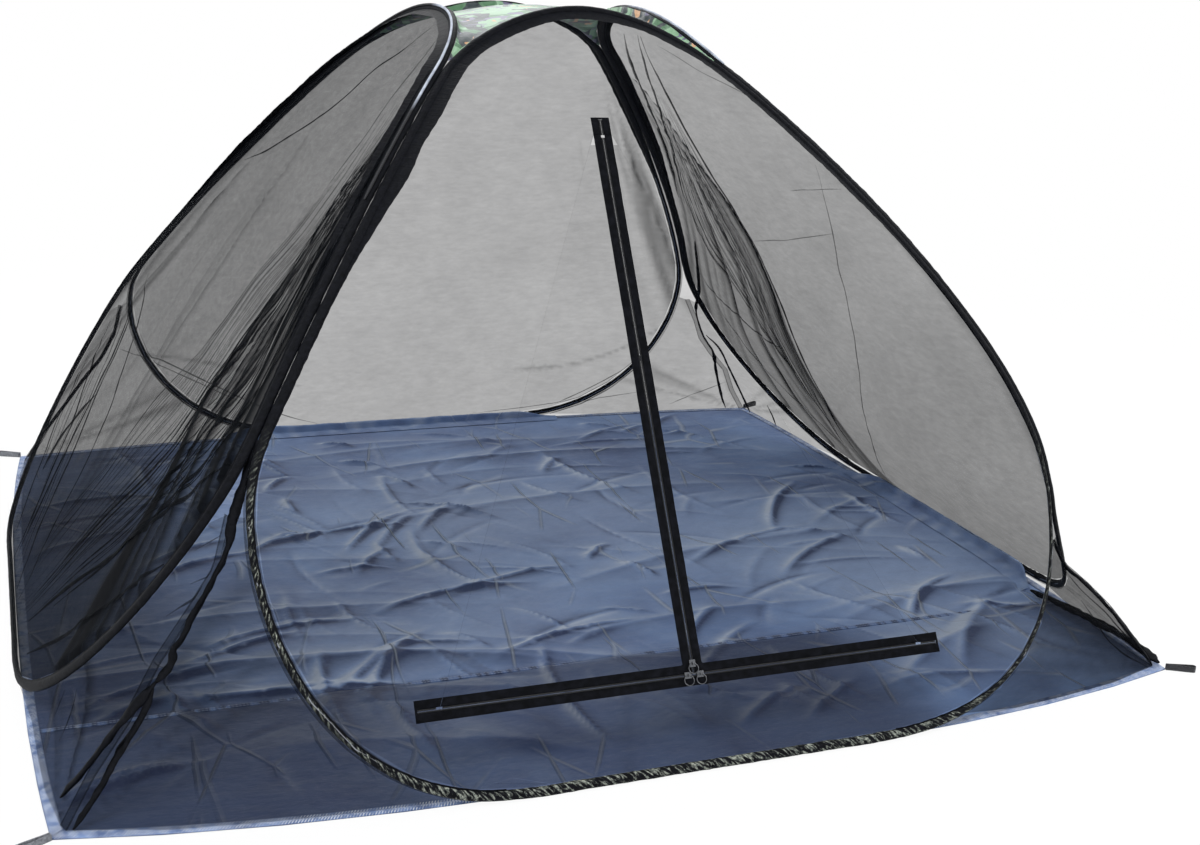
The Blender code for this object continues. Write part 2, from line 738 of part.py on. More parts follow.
def make_fixed_zip():
    """The zip halves sewn to the front net: along the sill and above the top of the door."""
    half_tape = TAPE_THICKNESS / 2
    half_chain = CHAIN_THICKNESS / 2
    chain_in = CHAIN_SLOT / 2
    chain_out = chain_in + CHAIN_WIDTH
    tape_in = chain_out + FIT_GAP
    tape_out = tape_in + TAPE_WIDTH
    far = STUB_START + STUB_LENGTH
    sill = DOOR_SILL
    near_in = fold_x(sill + tape_in) + FIT_GAP
    near_out = fold_x(sill + tape_out) + FIT_GAP
    reach = far - TAPE_LINK
    half = [(far, sill - tape_out), (far, sill + tape_out), (near_out, sill + tape_out)]
    half += [(near_in, sill + tape_in), (reach, sill + tape_in), (reach, sill - tape_in)]
    door_plate("sill_zip_tape", both_sides(half), -half_tape, half_tape, zip_tape_fabric())
    end = reach - FIT_GAP
    stop = end - CHAIN_WIDTH
    half = [(end, sill - chain_out), (end, sill + chain_out), (STUB_START, sill + chain_out)]
    half += [(STUB_START, sill + chain_in), (stop, sill + chain_in), (stop, sill - chain_in)]
    door_plate("sill_zip_chain", both_sides(half), -half_chain, half_chain, zip_plastic())
    reach = STUB_TOP - TAPE_LINK
    half = [(tape_in, reach), (tape_in, DOOR_TOP), (tape_out, DOOR_TOP), (tape_out, STUB_TOP)]
    door_plate("top_zip_tape", both_sides(half), -half_tape, half_tape, zip_tape_fabric())
    end = reach - FIT_GAP
    stop = end - CHAIN_WIDTH
    half = [(chain_in, stop), (chain_in, DOOR_TOP), (chain_out, DOOR_TOP), (chain_out, end)]
    door_plate("top_zip_chain", both_sides(half), -half_chain, half_chain, zip_plastic())


def join_blocks(name, blocks, stuff):
    """One solid from boxes given as (lows, highs) in a local frame; the boxes run into each other."""
    first = None
    for k, (lows, highs) in enumerate(blocks):
        (x0, y0, z0), (x1, y1, z1) = lows, highs
        points = [(x, y, z) for z in (z0, z1) for y in (y0, y1) for x in (x0, x1)]
        faces = [(0, 2, 3, 1), (4, 5, 7, 6), (0, 1, 5, 4), (2, 6, 7, 3), (0, 4, 6, 2), (1, 3, 7, 5)]
        block = add_object(name if k == 0 else name + "_cut", points, faces, stuff)
        if k == 0:
            first = block
            continue
        union = first.modifiers.new("join", "BOOLEAN")
        union.operation = "UNION"
        union.solver = "EXACT"
        union.object = block
        graph = bpy.context.evaluated_depsgraph_get()
        mesh = bpy.data.meshes.new_from_object(first.evaluated_get(graph))
        first.modifiers.remove(union)
        first.data = mesh
        bpy.data.objects.remove(block)
    return first


def slider_blocks(travel_up):
    """Boxes of one zip slider: two plates, the web between the chains, flanges and the pull's staple."""
    half_run = SLIDER_LENGTH / 2
    half_wide = SLIDER_WIDTH / 2
    inside = CHAIN_THICKNESS / 2 + FIT_GAP
    outside = inside + SLIDER_PLATE
    web = CHAIN_SLOT / 2 - FIT_GAP
    lap = SLIDER_PLATE / 4
    slot = TAPE_THICKNESS / 2 + FIT_GAP
    blocks = [
        ((-half_wide, -half_run, inside), (half_wide, half_run, outside)),
        ((-half_wide, -half_run, -outside), (half_wide, half_run, -inside)),
        ((-web, -half_run / 2, -inside - lap), (web, half_run / 2, inside + lap)),
    ]
    for s in (-1, 1):
        x0, x1 = sorted((s * half_wide, s * (half_wide - SLIDER_FLANGE)))
        blocks.append(((x0, -half_run / 2, slot), (x1, half_run / 2, inside + lap)))
        blocks.append(((x0, -half_run / 2, -inside - lap), (x1, half_run / 2, -slot)))
    if not travel_up:
        blocks = [((a[1], a[0], a[2]), (b[1], b[0], b[2])) for a, b in blocks]
    hole = 2 * PULL_WIRE + 2 * FIT_GAP
    half_bar = hole / 2 + STAPLE_BAR
    half_thick = STAPLE_WIDTH / 2
    top = outside + hole + STAPLE_BAR
    blocks.append(((-half_thick, -half_bar, outside - lap), (half_thick, -hole / 2, top)))
    blocks.append(((-half_thick, hole / 2, outside - lap), (half_thick, half_bar, top)))
    blocks.append(((-half_thick, -half_bar, outside + hole), (half_thick, half_bar, top)))
    return blocks


def place_in_door(made, x, height):
    """Puts an object modelled in (across, up the slope, out) at a place in the door plane."""
    spot = door_point(x, height)
    for vertex in made.data.vertices:
        a, b, c = vertex.co
        vertex.co = tuple(spot + np.array([a, 0.0, 0.0]) + DOOR_UP * b + DOOR_OUT * c)


def make_slider(word, x, height, travel_up):
    body = join_blocks("zip_slider_" + word, slider_blocks(travel_up), nickel())
    place_in_door(body, x, height)
    outside = CHAIN_THICKNESS / 2 + FIT_GAP + SLIDER_PLATE
    lift = outside + FIT_GAP + PULL_WIRE
    rings = []
    around = 24
    for k in range(around):
        angle = 2.0 * math.pi * k / around
        way = np.array([math.sin(angle), math.cos(angle), 0.0])
        ring = []
        for j in range(6):
            turn = 2.0 * math.pi * j / 6
            spot = way * (PULL_RADIUS + PULL_WIRE * math.cos(turn))
            ring.append(spot + np.array([0.0, -PULL_RADIUS, lift + PULL_WIRE * math.sin(turn)]))
        rings.append(ring)
    points = np.array(rings).reshape(-1, 3)
    faces = []
    for k in range(around):
        for j in range(6):
            a = k * 6 + j
            b = k * 6 + (j + 1) % 6
            c = ((k + 1) % around) * 6 + (j + 1) % 6
            d = ((k + 1) % around) * 6 + j
            faces.append((a, b, c, d))
    pull = add_object("zip_pull_" + word, points, triangles(faces), nickel())
    place_in_door(pull, x, height)


def floor_point(a, b, inset=0.0):
    """Floor outline with its bowed sides; a and b run from -1 to 1 across and along."""
    clear = SLEEVE_THICKNESS / 2 + FIT_GAP
    side_bulge = RIGHT_BULGE if a > 0 else LEFT_BULGE
    end_bulge = BACK_BULGE if b > 0 else FRONT_BULGE
    x = a * (FLOOR_HALF_WIDTH - inset + (side_bulge - clear) * (1.0 - abs(b) ** 3))
    y = b * (FLOOR_HALF_DEPTH - inset + (end_bulge - clear) * (1.0 - abs(a) ** 3))
    return x, y


FLOOR_SHARES = (-1.0, -0.85, -0.68, -0.5, -0.32, -0.16, 0.0, 0.16, 0.32, 0.5, 0.68, 0.85, 1.0)
JOIN_SHARE = FLOOR_JOIN_Y / (FLOOR_HALF_DEPTH + FRONT_BULGE)


def floor_sheet(name, low, high, rows):
    """A width of floor cloth between two lines across the tent, given by their distance along it."""
    points = []
    for r in range(rows):
        along = r / (rows - 1)
        for a in FLOOR_SHARES:
            y_low = low if low is not None else floor_point(a, -1.0)[1]
            y_high = high if high is not None else floor_point(a, 1.0)[1]
            y = y_low * (1.0 - along) + y_high * along
            bulge = BACK_BULGE if y > 0 else FRONT_BULGE
            b = np.clip(y / (FLOOR_HALF_DEPTH + bulge * (1.0 - abs(a) ** 3)), -1, 1)
            points.append((floor_point(a, float(b))[0], y, FLOOR_THICKNESS / 2))
    normals = np.tile(UP, (len(points), 1))
    faces = grid_faces(rows, len(FLOOR_SHARES))
    return thick_sheet(name, points, faces, FLOOR_THICKNESS, floor_fabric(), normals)


def make_floor():
    floor_sheet("floor_front_panel", None, FLOOR_JOIN_Y - FIT_GAP / 2, 5)
    floor_sheet("floor_main_panel", FLOOR_JOIN_Y + FIT_GAP / 2, None, 9)
    level = FLOOR_THICKNESS + FIT_GAP + HEM_THICKNESS / 2
    outer = []
    inner = []
    walk = [(a, -1.0) for a in FLOOR_SHARES[:-1]] + [(1.0, b) for b in FLOOR_SHARES[:-1]]
    walk += [(-a, 1.0) for a in FLOOR_SHARES[:-1]] + [(-1.0, -b) for b in FLOOR_SHARES[:-1]]
    for a, b in walk:
        x, y = floor_point(a, b)
        outer.append((x, y, level))
        x, y = floor_point(a, b, HEM_WIDTH)
        inner.append((x, y, level))
    count = len(walk)
    faces = [(k, (k + 1) % count, count + (k + 1) % count, count + k) for k in range(count)]
    normals = np.tile(UP, (2 * count, 1))
    thick_sheet("floor_hem", outer + inner, faces, HEM_THICKNESS, hem_fabric(), normals)
    rows = []
    level = FLOOR_THICKNESS + FIT_GAP + FLOOR_SEAM_THICKNESS / 2
    for y in (FLOOR_JOIN_Y - FLOOR_SEAM_WIDTH / 2, FLOOR_JOIN_Y + FLOOR_SEAM_WIDTH / 2):
        for a in FLOOR_SHARES:
            b = y / (FLOOR_HALF_DEPTH + FRONT_BULGE * (1.0 - abs(a) ** 3))
            if abs(a) < 1.0:
                x = floor_point(a, b)[0]
            else:
                x = floor_point(a, b, HEM_WIDTH + 4 * FIT_GAP)[0]
            rows.append((x, y, level))
    normals = np.tile(UP, (len(rows), 1))
    faces = grid_faces(2, len(FLOOR_SHARES))
    thick_sheet("floor_seam", rows, faces, FLOOR_SEAM_THICKNESS, hem_fabric(), normals)


def seam_line(corner):
    """The split the corner seam starts under, its foot on the floor corner, and its ways along and across."""
    sx, sy = CORNERS[corner][:2]
    split = corner_frame(corner)[1]
    foot = np.array([sx * (FLOOR_HALF_WIDTH - HEM_WIDTH), sy * (FLOOR_HALF_DEPTH - HEM_WIDTH), 0.0])
    foot[2] = FLOOR_THICKNESS + HEM_THICKNESS + 2 * FIT_GAP + SEAM_THICKNESS
    middle = (split + foot) / 2
    reach = []
    for side in corner_sides(corner):
        stations = gusset_stations(side, corner)
        reach.append(unit(outer_edge(side, stations[len(stations) // 2]) - middle))
    along = unit(foot - split)
    across = reach[1] - reach[0]
    across = unit(across - along * np.dot(across, along))
    return split, foot, along, across


def corner_sides(corner):
    return [side for side in SIDES if corner in SIDES[side][1:]]


def hoop_run(side, corner):
    """Stations of the hoop below the split with the share of their run, and their places."""
    level = gusset_level() + GUSSET_LAST_RISE
    stations = [k for k in gusset_stations(side, corner) if outer_edge(side, k)[2] > level]
    spots = [frames(side)[0][k] for k in stations]
    run = [np.linalg.norm(spots[0] - corner_frame(corner)[1])]
    for a, b in zip(spots[:-1], spots[1:]):
        run.append(run[-1] + np.linalg.norm(b - a))
    return stations, [r / run[-1] for r in run], spots


def seam_point(corner, share):
    """The seam starts midway between the two hoops, sags a little inwards and wavers."""
    split, foot, along, across = seam_line(corner)
    inward = np.cross(along, across)
    inward = inward if np.dot(inward, split * np.array([1.0, 1.0, 0.0])) < 0.0 else -inward
    p = split * (1.0 - share) + foot * share
    between = sum(edge_at(*hoop_run(side, corner)[1:], share) for side in corner_sides(corner)) / 2
    fade = smooth(share / SEAM_FREE_SHARE)
    p = between * (1.0 - fade) + p * fade
    ends = smooth(4.0 * share) * smooth(4.0 * (1.0 - share))
    wave = SEAM_WAVE * math.sin(math.pi * SEAM_WAVES * share) * ends
    return p + inward * (SEAM_SAG * math.sin(math.pi * share)) + across * wave


def gusset_stations(side, corner):
    """Stations of the hoop from below the split down to near the landing, as hoop indices."""
    last = 2 * PEAK
    up_side = corner == SIDES[side][2]
    order = []
    for k in range(SPLIT - 1, LANDING, -1):
        order.append(k if up_side else last - k)
    return order


def edge_toward(side, k, target):
    """The place just outside the sleeve at station k from which a sheet runs clear of it to the target."""
    points, run, normals, outward = frames(side)
    way = target - points[k]
    way = unit(way - run[k] * np.dot(way, run[k]))
    a = abs(np.dot(way, outward[k]))
    b = abs(np.dot(way, normals[k]))
    reach = max(a * SLEEVE_WIDTH / 2, a * SLEEVE_WIDTH / 4 + b * SLEEVE_THICKNESS / 2)
    return points[k] + way * (reach + NET_EDGE_GAP)


def gusset_edge(side, corner):
    """Shares along the corner seam and the hoop's edge there, from the split to just before the landing."""
    stations, shares, _ = hoop_run(side, corner)
    return shares, [edge_toward(side, k, seam_point(corner, share)) for k, share in zip(stations, shares)]


def gusset_level():
    return FLOOR_THICKNESS + HEM_THICKNESS + 2 * FIT_GAP + NET_THICKNESS / 2


def edge_at(shares, spots, share):
    if share <= shares[0]:
        return spots[0]
    for low, high, a, b in zip(shares[:-1], shares[1:], spots[:-1], spots[1:]):
        if share <= high:
            part = (share - low) / (high - low)
            return a * (1.0 - part) + b * part
    return spots[-1]


def gusset_foot(side, corner, start, end, share):
    """A place on the middle of the hem between the corner and the hoop."""
    sx, sy = CORNERS[corner][:2]
    spot = start * (1.0 - share) + end * share
    pull = min(1.0, 4.0 * share * (1.0 - share) + 0.5)
    if side in ("front", "back"):
        along = float(spot[0] / FLOOR_HALF_WIDTH)
        spot[1] += (floor_point(along, sy, HEM_WIDTH / 2)[1] - spot[1]) * pull
    else:
        along = float(spot[1] / FLOOR_HALF_DEPTH)
        spot[0] += (floor_point(sx, along, HEM_WIDTH / 2)[0] - spot[0]) * pull
    spot[2] = gusset_level()
    return spot


def make_gusset(side, corner, shares, edge_shares, edge_spots):
    sign = 1.0 if side == corner_sides(corner)[1] else -1.0
    toward = seam_line(corner)[3] * sign
    cols = 5
    rows = []
    for share in shares:
        a = seam_point(corner, share) + toward * (SEAM_WIDTH / 2 + NET_EDGE_GAP)
        b = edge_at(edge_shares, edge_spots, share)
        rows.append([a * (1 - c / (cols - 1)) + b * (c / (cols - 1)) for c in range(cols)])
    for c in range(1, cols - 1):
        rows[-1][c] = gusset_foot(side, corner, rows[-1][0], rows[-1][-1], c / (cols - 1))
    points = np.array(rows).reshape(-1, 3)
    name = "gusset_" + corner + "_" + side
    thick_sheet(name, points, grid_faces(len(rows), cols), NET_THICKNESS, net_fabric())


def clear_of_sleeves(corner, share, edges):
    """Whether the seam and a little net fit between the two sleeves at this share."""
    p = seam_point(corner, share)
    across = seam_line(corner)[3]
    near, far = corner_sides(corner)
    if share < max(edges[side][0][0] for side in edges):
        return False
    near_room = np.dot(p - edge_at(*edges[near], share), across)
    far_room = np.dot(edge_at(*edges[far], share) - p, across)
    return min(near_room, far_room) > SEAM_WIDTH / 2 + GUSSET_FIRST_WIDTH


def make_corner(corner):
    """Two net gussets and the bunched seam between them."""
    sides = corner_sides(corner)
    edges = {side: gusset_edge(side, corner) for side in sides}
    shares = sorted({round(share, 6) for side in sides for share in edges[side][0]})
    shares = [share for share in shares if clear_of_sleeves(corner, share, edges)]
    for side in sides:
        make_gusset(side, corner, shares, *edges[side])
    _, _, along, across = seam_line(corner)
    out = np.cross(across, along)
    rings = []
    for share in shares:
        p = seam_point(corner, share)
        a = across * SEAM_WIDTH / 2
        b = out * SEAM_THICKNESS / 2
        rings.append([p + a + b, p - a + b, p - a - b, p + a - b])
    swept_bar("corner_seam_" + corner, rings, black_fabric())


def make_crown():
    """Crown cloth stretched between the inner edges of the four top arcs."""
    order = ("front", "right", "back", "left")
    arcs = []
    last = 2 * PEAK
    for side in order:
        stations = range(last - CROWN - 1, CROWN, -1)
        spots = [outer_edge(side, k) for k in stations]
        arcs.append(spots)
    size = len(arcs[0]) + 2
    corners = []
    for a, b in zip(arcs, arcs[1:] + arcs[:1]):
        corners.append((a[-1] + b[0]) / 2)
    grid = np.zeros((size, size, 3))
    front = [corners[3], *arcs[0], corners[0]]
    right = [corners[0], *arcs[1], corners[1]]
    back = [corners[1], *arcs[2], corners[2]]
    left = [corners[2], *arcs[3], corners[3]]
    grid[0, :] = front
    grid[:, -1] = right
    grid[-1, :] = back[::-1]
    grid[:, 0] = left[::-1]
    arched = grid.copy()
    for r in range(1, size - 1):
        for c in range(1, size - 1):
            s, t = c / (size - 1), r / (size - 1)
            front_end = (1 - s) * grid[0, 0] + s * grid[0, -1]
            back_end = (1 - s) * grid[-1, 0] + s * grid[-1, -1]
            ends = (1 - t) * front_end + t * back_end
            lines = (1 - t) * grid[0, c] + t * grid[-1, c] + (1 - s) * grid[r, 0] + s * grid[r, -1]
            arched[r, c] = lines - ends
            grid[r, c] = lines / 2
    for _ in range(400):
        inner = (grid[:-2, 1:-1] + grid[2:, 1:-1] + grid[1:-1, :-2] + grid[1:-1, 2:]) / 4
        grid[1:-1, 1:-1] = inner
    grid = grid * (1.0 - CROWN_ARCH_SHARE) + arched * CROWN_ARCH_SHARE
    thick_sheet("crown_cloth", grid.reshape(-1, 3), grid_faces(size, size), CROWN_THICKNESS, crown_fabric())


def make_piping(side, first, short):
    """Raised cord sewn along the outer face of the sleeve's top arc, between two stations."""
    points, _, normals, outward = frames(side)
    last = 2 * PEAK
    rings = []
    for k in range(first, last - short):
        base = points[k] + normals[k] * (SLEEVE_THICKNESS / 2 + FIT_GAP)
        top = base + normals[k] * PIPING_THICKNESS
        a = outward[k] * PIPING_WIDTH / 2
        rings.append([top + a / 2, top - a / 2, base - a * 1.0, base + a * 1.0])
    rings = [ring[::-1] for ring in rings]
    swept_bar("piping_" + side, rings, piping_fabric())


def make_loop(corner, stuff):
    """Webbing loop at a floor corner, standing on its edge so that a peg passes down through it."""
    sx, sy = CORNERS[corner][:2]
    out = unit(np.array([sx, sy * LOOP_LEAN_SHARE, 0.0]))
    across = np.cross(UP, out)
    start = np.array([sx * FLOOR_HALF_WIDTH, sy * FLOOR_HALF_DEPTH, 0.0]) - out * LOOP_SEAT
    spots = []
    half = LOOP_BEND
    straight = LOOP_LENGTH - LOOP_BEND
    for share in (0.0, 0.5, 1.0):
        wide = half * (LOOP_OPEN_SHARES[0] + LOOP_OPEN_SHARES[1] * smooth(share))
        spots.append((straight * share, wide, np.array([0.0, 1.0])))
    for k in range(1, 8):
        angle = math.pi * k / 8
        turn = np.array([math.sin(angle), math.cos(angle)])
        spots.append((straight + half * turn[0], half * turn[1], turn))
    for share in (1.0, 0.5, 0.0):
        wide = half * (LOOP_OPEN_SHARES[0] + LOOP_OPEN_SHARES[1] * smooth(share))
        spots.append((straight * share, -wide, np.array([0.0, -1.0])))
    rings = []
    for a, b, (na, nb) in spots:
        centre = start + out * a + across * b
        normal = out * na + across * nb
        far = centre + normal * LOOP_STRAP / 2
        near = centre - normal * LOOP_STRAP / 2
        rings.append([near, far, far + UP * LOOP_HEIGHT, near + UP * LOOP_HEIGHT])
    swept_bar("corner_loop_" + corner, rings, stuff)


def main():
    for old in list(bpy.data.objects):
        bpy.data.objects.remove(old)
    for side in SIDES:
        make_wire(side)
        make_ferrule(side)
        make_sleeve(side)
    make_piping("left", CROWN - 4, CROWN)
    make_piping("right", CROWN + 1, CROWN)
    make_wall("back", BACK_FOLD)
    make_wall("left", SIDE_FOLD)
    make_wall("right", SIDE_FOLD)
    make_front_net()
    make_flap(-1, "left")
    make_flap(1, "right")
    make_fixed_zip()
    make_slider("upright", 0.0, DOOR_SILL + SLIDER_RISE, True)
    make_slider("left", -SLIDER_OFFSET, DOOR_SILL, False)
    make_slider("right", SLIDER_OFFSET, DOOR_SILL, False)
    make_floor()
    for corner in CORNERS:
        make_corner(corner)
    make_crown()
    make_loop("front_right", webbing())
    make_loop("back_right", webbing())
    make_loop("back_left", grey_webbing())
    make_loop("front_left", grey_webbing())


main()
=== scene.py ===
import math
import random

import bmesh
import bpy
import numpy as np
from mathutils import Matrix, Vector, noise
from mathutils.bvhtree import BVHTree


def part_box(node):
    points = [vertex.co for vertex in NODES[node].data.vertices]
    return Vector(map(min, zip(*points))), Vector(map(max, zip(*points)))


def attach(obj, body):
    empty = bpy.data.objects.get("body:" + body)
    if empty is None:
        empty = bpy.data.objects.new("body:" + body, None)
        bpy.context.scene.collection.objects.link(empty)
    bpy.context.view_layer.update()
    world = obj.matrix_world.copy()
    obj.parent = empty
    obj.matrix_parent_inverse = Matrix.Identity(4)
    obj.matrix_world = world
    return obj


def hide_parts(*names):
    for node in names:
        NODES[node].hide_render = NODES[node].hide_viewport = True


bl_info = {
    "name": "Mosquito net tent dressing",
    "version": (1, 0, 0),
    "blender": (4, 5, 0),
    "location": "3D View > Sidebar > Net Tent",
    "description": "Dresses the net tent frame in cloth, net, zips and bindings",
    "category": "Object",
}

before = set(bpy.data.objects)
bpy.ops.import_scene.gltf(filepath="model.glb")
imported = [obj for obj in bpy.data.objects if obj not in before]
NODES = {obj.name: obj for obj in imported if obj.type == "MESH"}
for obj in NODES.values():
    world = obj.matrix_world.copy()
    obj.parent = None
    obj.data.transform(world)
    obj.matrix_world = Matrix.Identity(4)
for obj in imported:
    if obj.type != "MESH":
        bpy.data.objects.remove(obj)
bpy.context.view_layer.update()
ROOT = "tent"

# Sizes that follow the solids, in metres
UP = np.array([0.0, 0.0, 1.0])
SLEEVE_WIDTH = 0.018
SLEEVE_THICK = 0.011
CONTACT_HALF = 0.31
PEAK_HANDLE_FRONT = 0.115
PEAK_HANDLE_SIDE = 0.185
LOWER_SHARES = (0.1, 0.21, 0.33, 0.45, 0.57, 0.69, 0.8, 0.9)
DOWN_SHARES = (0.0, 0.11, 0.24, 0.38, 0.52, 0.66, 0.8, 0.91)
TOP_SHARES = (0.0, 0.12, 0.34, 0.58, 0.8)
CONTACT_SHARES = (0.36, 0.68, 1.0)
# Where each hoop crosses its neighbour at the crown, and how far back the splits stand
CROWN_CORNER = (0.28, 0.33, 1.045)
SPLIT_BACK = 0.825
# How far the hoops point down where they leave the crown, in radians
CROWN_DROP = 0.55
# For each floor corner: its signs, then the split's half width, height and downward angle
CORNERS = {
    "front_left": (-1.0, -1.0, 0.685, 0.555, 0.73),
    "front_right": (1.0, -1.0, 0.73, 0.365, 1.33),
    "back_right": (1.0, 1.0, 0.735, 0.455, 1.02),
    "back_left": (-1.0, 1.0, 0.705, 0.485, 0.8),
}
# For each hoop: the way out, its corners, and its ground reach, bulge, peak place, height and handle
SIDES = {
    "front": (np.array([0.0, -1.0, 0.0]), "front_left", "front_right",
              (0.9, 0.09, 0.255, 1.155, PEAK_HANDLE_FRONT)),
    "right": (np.array([1.0, 0.0, 0.0]), "front_right", "back_right",
              (1.0, 0.03, 0.2, 1.15, PEAK_HANDLE_SIDE)),
    "back": (np.array([0.0, 1.0, 0.0]), "back_right", "back_left",
             (0.9, 0.05, 0.255, 1.145, PEAK_HANDLE_FRONT)),
    "left": (np.array([-1.0, 0.0, 0.0]), "back_left", "front_left",
             (1.0, 0.035, 0.2, 1.14, PEAK_HANDLE_SIDE)),
}
# The door's plane leans back by this much for each metre of height
DOOR_LEAN = 0.6316
DOOR_RUN = math.hypot(DOOR_LEAN, 1.0)
DOOR_UP = np.array([0.0, DOOR_LEAN / DOOR_RUN, 1.0 / DOOR_RUN])
DOOR_OUT = np.array([0.0, -1.0 / DOOR_RUN, DOOR_LEAN / DOOR_RUN])
DOOR_FOOT_Y = -0.99
DOOR_SILL = 0.1526
DOOR_TOP = 1.1165
DOOR_HALF = 0.43
CHAIN_IN = 0.00075
CHAIN_OUT = 0.00315
TAPE_IN = 0.00345
TAPE_OUT = 0.01745
STUB_LENGTH = 0.034
STUB_END = 0.004
FLAP_GAP = 0.005
FLOOR_JOIN_Y = -0.566


def unit(v):
    return v / np.linalg.norm(v)


def directions(rows):
    """The way a line runs at each of its points."""
    run = np.gradient(rows, axis=0)
    return run / np.maximum(np.linalg.norm(run, axis=1), 1e-6)[:, None]


def lengths_along(rows):
    """Length of a line up to each of its points."""
    return np.concatenate([[0.0], np.cumsum(np.linalg.norm(np.diff(rows, axis=0), axis=1))])


def band_faces(rows, cols, first=0):
    """Faces of a band that has rows by cols points."""
    faces = []
    for k in range(rows - 1):
        for a in range(first + k * cols, first + (k + 1) * cols - 1):
            faces.append((a, a + 1, a + 1 + cols, a + cols))
    return faces


def smooth(share):
    """Eased step from 0 to 1."""
    share = np.clip(share, 0.0, 1.0)
    return share * share * (3.0 - 2.0 * share)


def bezier(a, b, c, d, share):
    rest = 1.0 - share
    return a * rest**3 + b * (3.0 * rest**2 * share) + c * (3.0 * rest * share**2) + d * share**3


def corner_frame(corner):
    """Where two hoops cross at the crown and at the split, and the ways that they run there."""
    sx, sy, split_x, split_z, angle = CORNERS[corner]
    crown = np.array([sx * CROWN_CORNER[0], sy * CROWN_CORNER[1], CROWN_CORNER[2]])
    split = np.array([sx * split_x, sy * SPLIT_BACK, split_z])
    plan = split - crown
    plan[2] = 0.0
    plan = unit(plan)
    crown_down = plan * math.cos(CROWN_DROP) - UP * math.sin(CROWN_DROP)
    split_down = plan * math.cos(angle) - UP * math.sin(angle)
    return crown, split, plan, crown_down, split_down


def ridge(offset, down):
    """Upward normal of the plane in which a hoop runs down."""
    normal = np.cross(offset, down)
    return unit(normal * np.sign(normal[2]))


def half_hoop(side, corner):
    """Hoop stations from the middle of its ground contact up to its peak, as the solids have them."""
    outward, _, end, (half, bulge, peak_in, peak_z, peak_handle) = SIDES[side]
    along = np.cross(UP, outward) * (1.0 if corner == end else -1.0)
    crown, split, plan, crown_down, split_down = corner_frame(corner)
    middle = outward * (half + bulge)
    landing = middle + along * CONTACT_HALF
    peak = outward * peak_in + UP * peak_z
    across = np.cross(UP, plan)
    across = across if np.dot(across, outward) > 0.0 else -across
    offset = across * (SLEEVE_WIDTH + 0.0003) / 2.0
    points, normals = [], []
    for step in (0.0005, 0.0253, 0.0263, *(CONTACT_HALF * s for s in CONTACT_SHARES)):
        points.append(middle + along * step + UP * SLEEVE_WIDTH / 2.0)
        normals.append(outward)
    low, high = ridge(offset, split_down), ridge(offset, crown_down)
    top = outward * 0.5 + UP * 0.85
    for share in LOWER_SHARES:
        p = bezier(landing, landing + along * 0.34, split + split_down * 0.2, split, share)
        fade = smooth(share)
        points.append(p + offset * fade + UP * (SLEEVE_WIDTH / 2.0 * (1.0 - fade)))
        normals.append(outward * (1.0 - fade) + low * fade)
    for share in DOWN_SHARES:
        p = bezier(split, split - split_down * 0.28, crown + crown_down * 0.15, crown, share)
        points.append(p + offset)
        normals.append(low * (1.0 - share) + high * share)
    for share in TOP_SHARES:
        fade = smooth(share)
        p = bezier(crown, crown - crown_down * 0.08, peak + along * peak_handle, peak, share)
        points.append(p + offset * (1.0 - fade))
        normals.append(high * (1.0 - fade) + top * fade)
    return points, normals, peak, top


def spline(rows, steps):
    """Rows of numbers with steps in-between rows added on a smooth line through them."""
    rows = np.asarray(rows, float)
    out = []
    for k in range(len(rows) - 1):
        p0, p1, p2, p3 = rows[max(k - 1, 0)], rows[k], rows[k + 1], rows[min(k + 2, len(rows) - 1)]
        d1 = max(np.linalg.norm((p1 - p0)[:3]), 1e-6)
        d2 = np.linalg.norm((p2 - p1)[:3])
        d3 = max(np.linalg.norm((p3 - p2)[:3]), 1e-6)
        t1 = (p2 - p0) / (d1 + d2) * d2 if k else p2 - p1
        t2 = (p3 - p1) / (d2 + d3) * d2 if k + 2 < len(rows) else p2 - p1
        count = max(1, int(round(d2 / steps)))
        for j in range(count):
            t = j / count
            first = (2 * t**3 - 3 * t**2 + 1) * p1 + (t**3 - 2 * t**2 + t) * t1
            out.append(first + (3 * t**2 - 2 * t**3) * p2 + (t**3 - t**2) * t2)
    out.append(rows[-1])
    return np.array(out)


# Centre lines of the hoops worked out so far
LOOPS = {}


def loop_frames(side, step=0.006):
    """Fine centre line of a hoop with its run, normal and outward directions, and length so far."""
    if (side, step) in LOOPS:
        return LOOPS[(side, step)]
    _, start, end, _ = SIDES[side]
    a_points, a_normals, peak, top = half_hoop(side, end)
    b_points, b_normals, _, _ = half_hoop(side, start)
    points = np.array([*a_points, peak, *b_points[::-1]])
    normals = np.array([*a_normals, top, *b_normals[::-1]])
    last = len(points) - 1
    keep = [k for k in range(len(points)) if k not in (1, 2, last - 2, last - 1)]
    rows = spline(np.hstack([points[keep], normals[keep]]), step)
    points, normals = rows[:, :3], rows[:, 3:]
    run = directions(points)
    normals = normals - run * (normals * run).sum(1)[:, None]
    normals /= np.linalg.norm(normals, axis=1)[:, None]
    length = lengths_along(points)
    LOOPS[(side, step)] = (points, run, normals, np.cross(run, normals), length)
    return LOOPS[(side, step)]


def door_point(x, height, out=0.0):
    """Place on the door's plane, and how far in front of it."""
    return np.array([x, DOOR_FOOT_Y, 0.0]) + DOOR_UP * height + DOOR_OUT * out


def rough(x, y=0.0, z=0.0):
    """Uneven number between about -1 and 1 that depends only on the place given."""
    return noise.noise(Vector((float(x), float(y), float(z))))


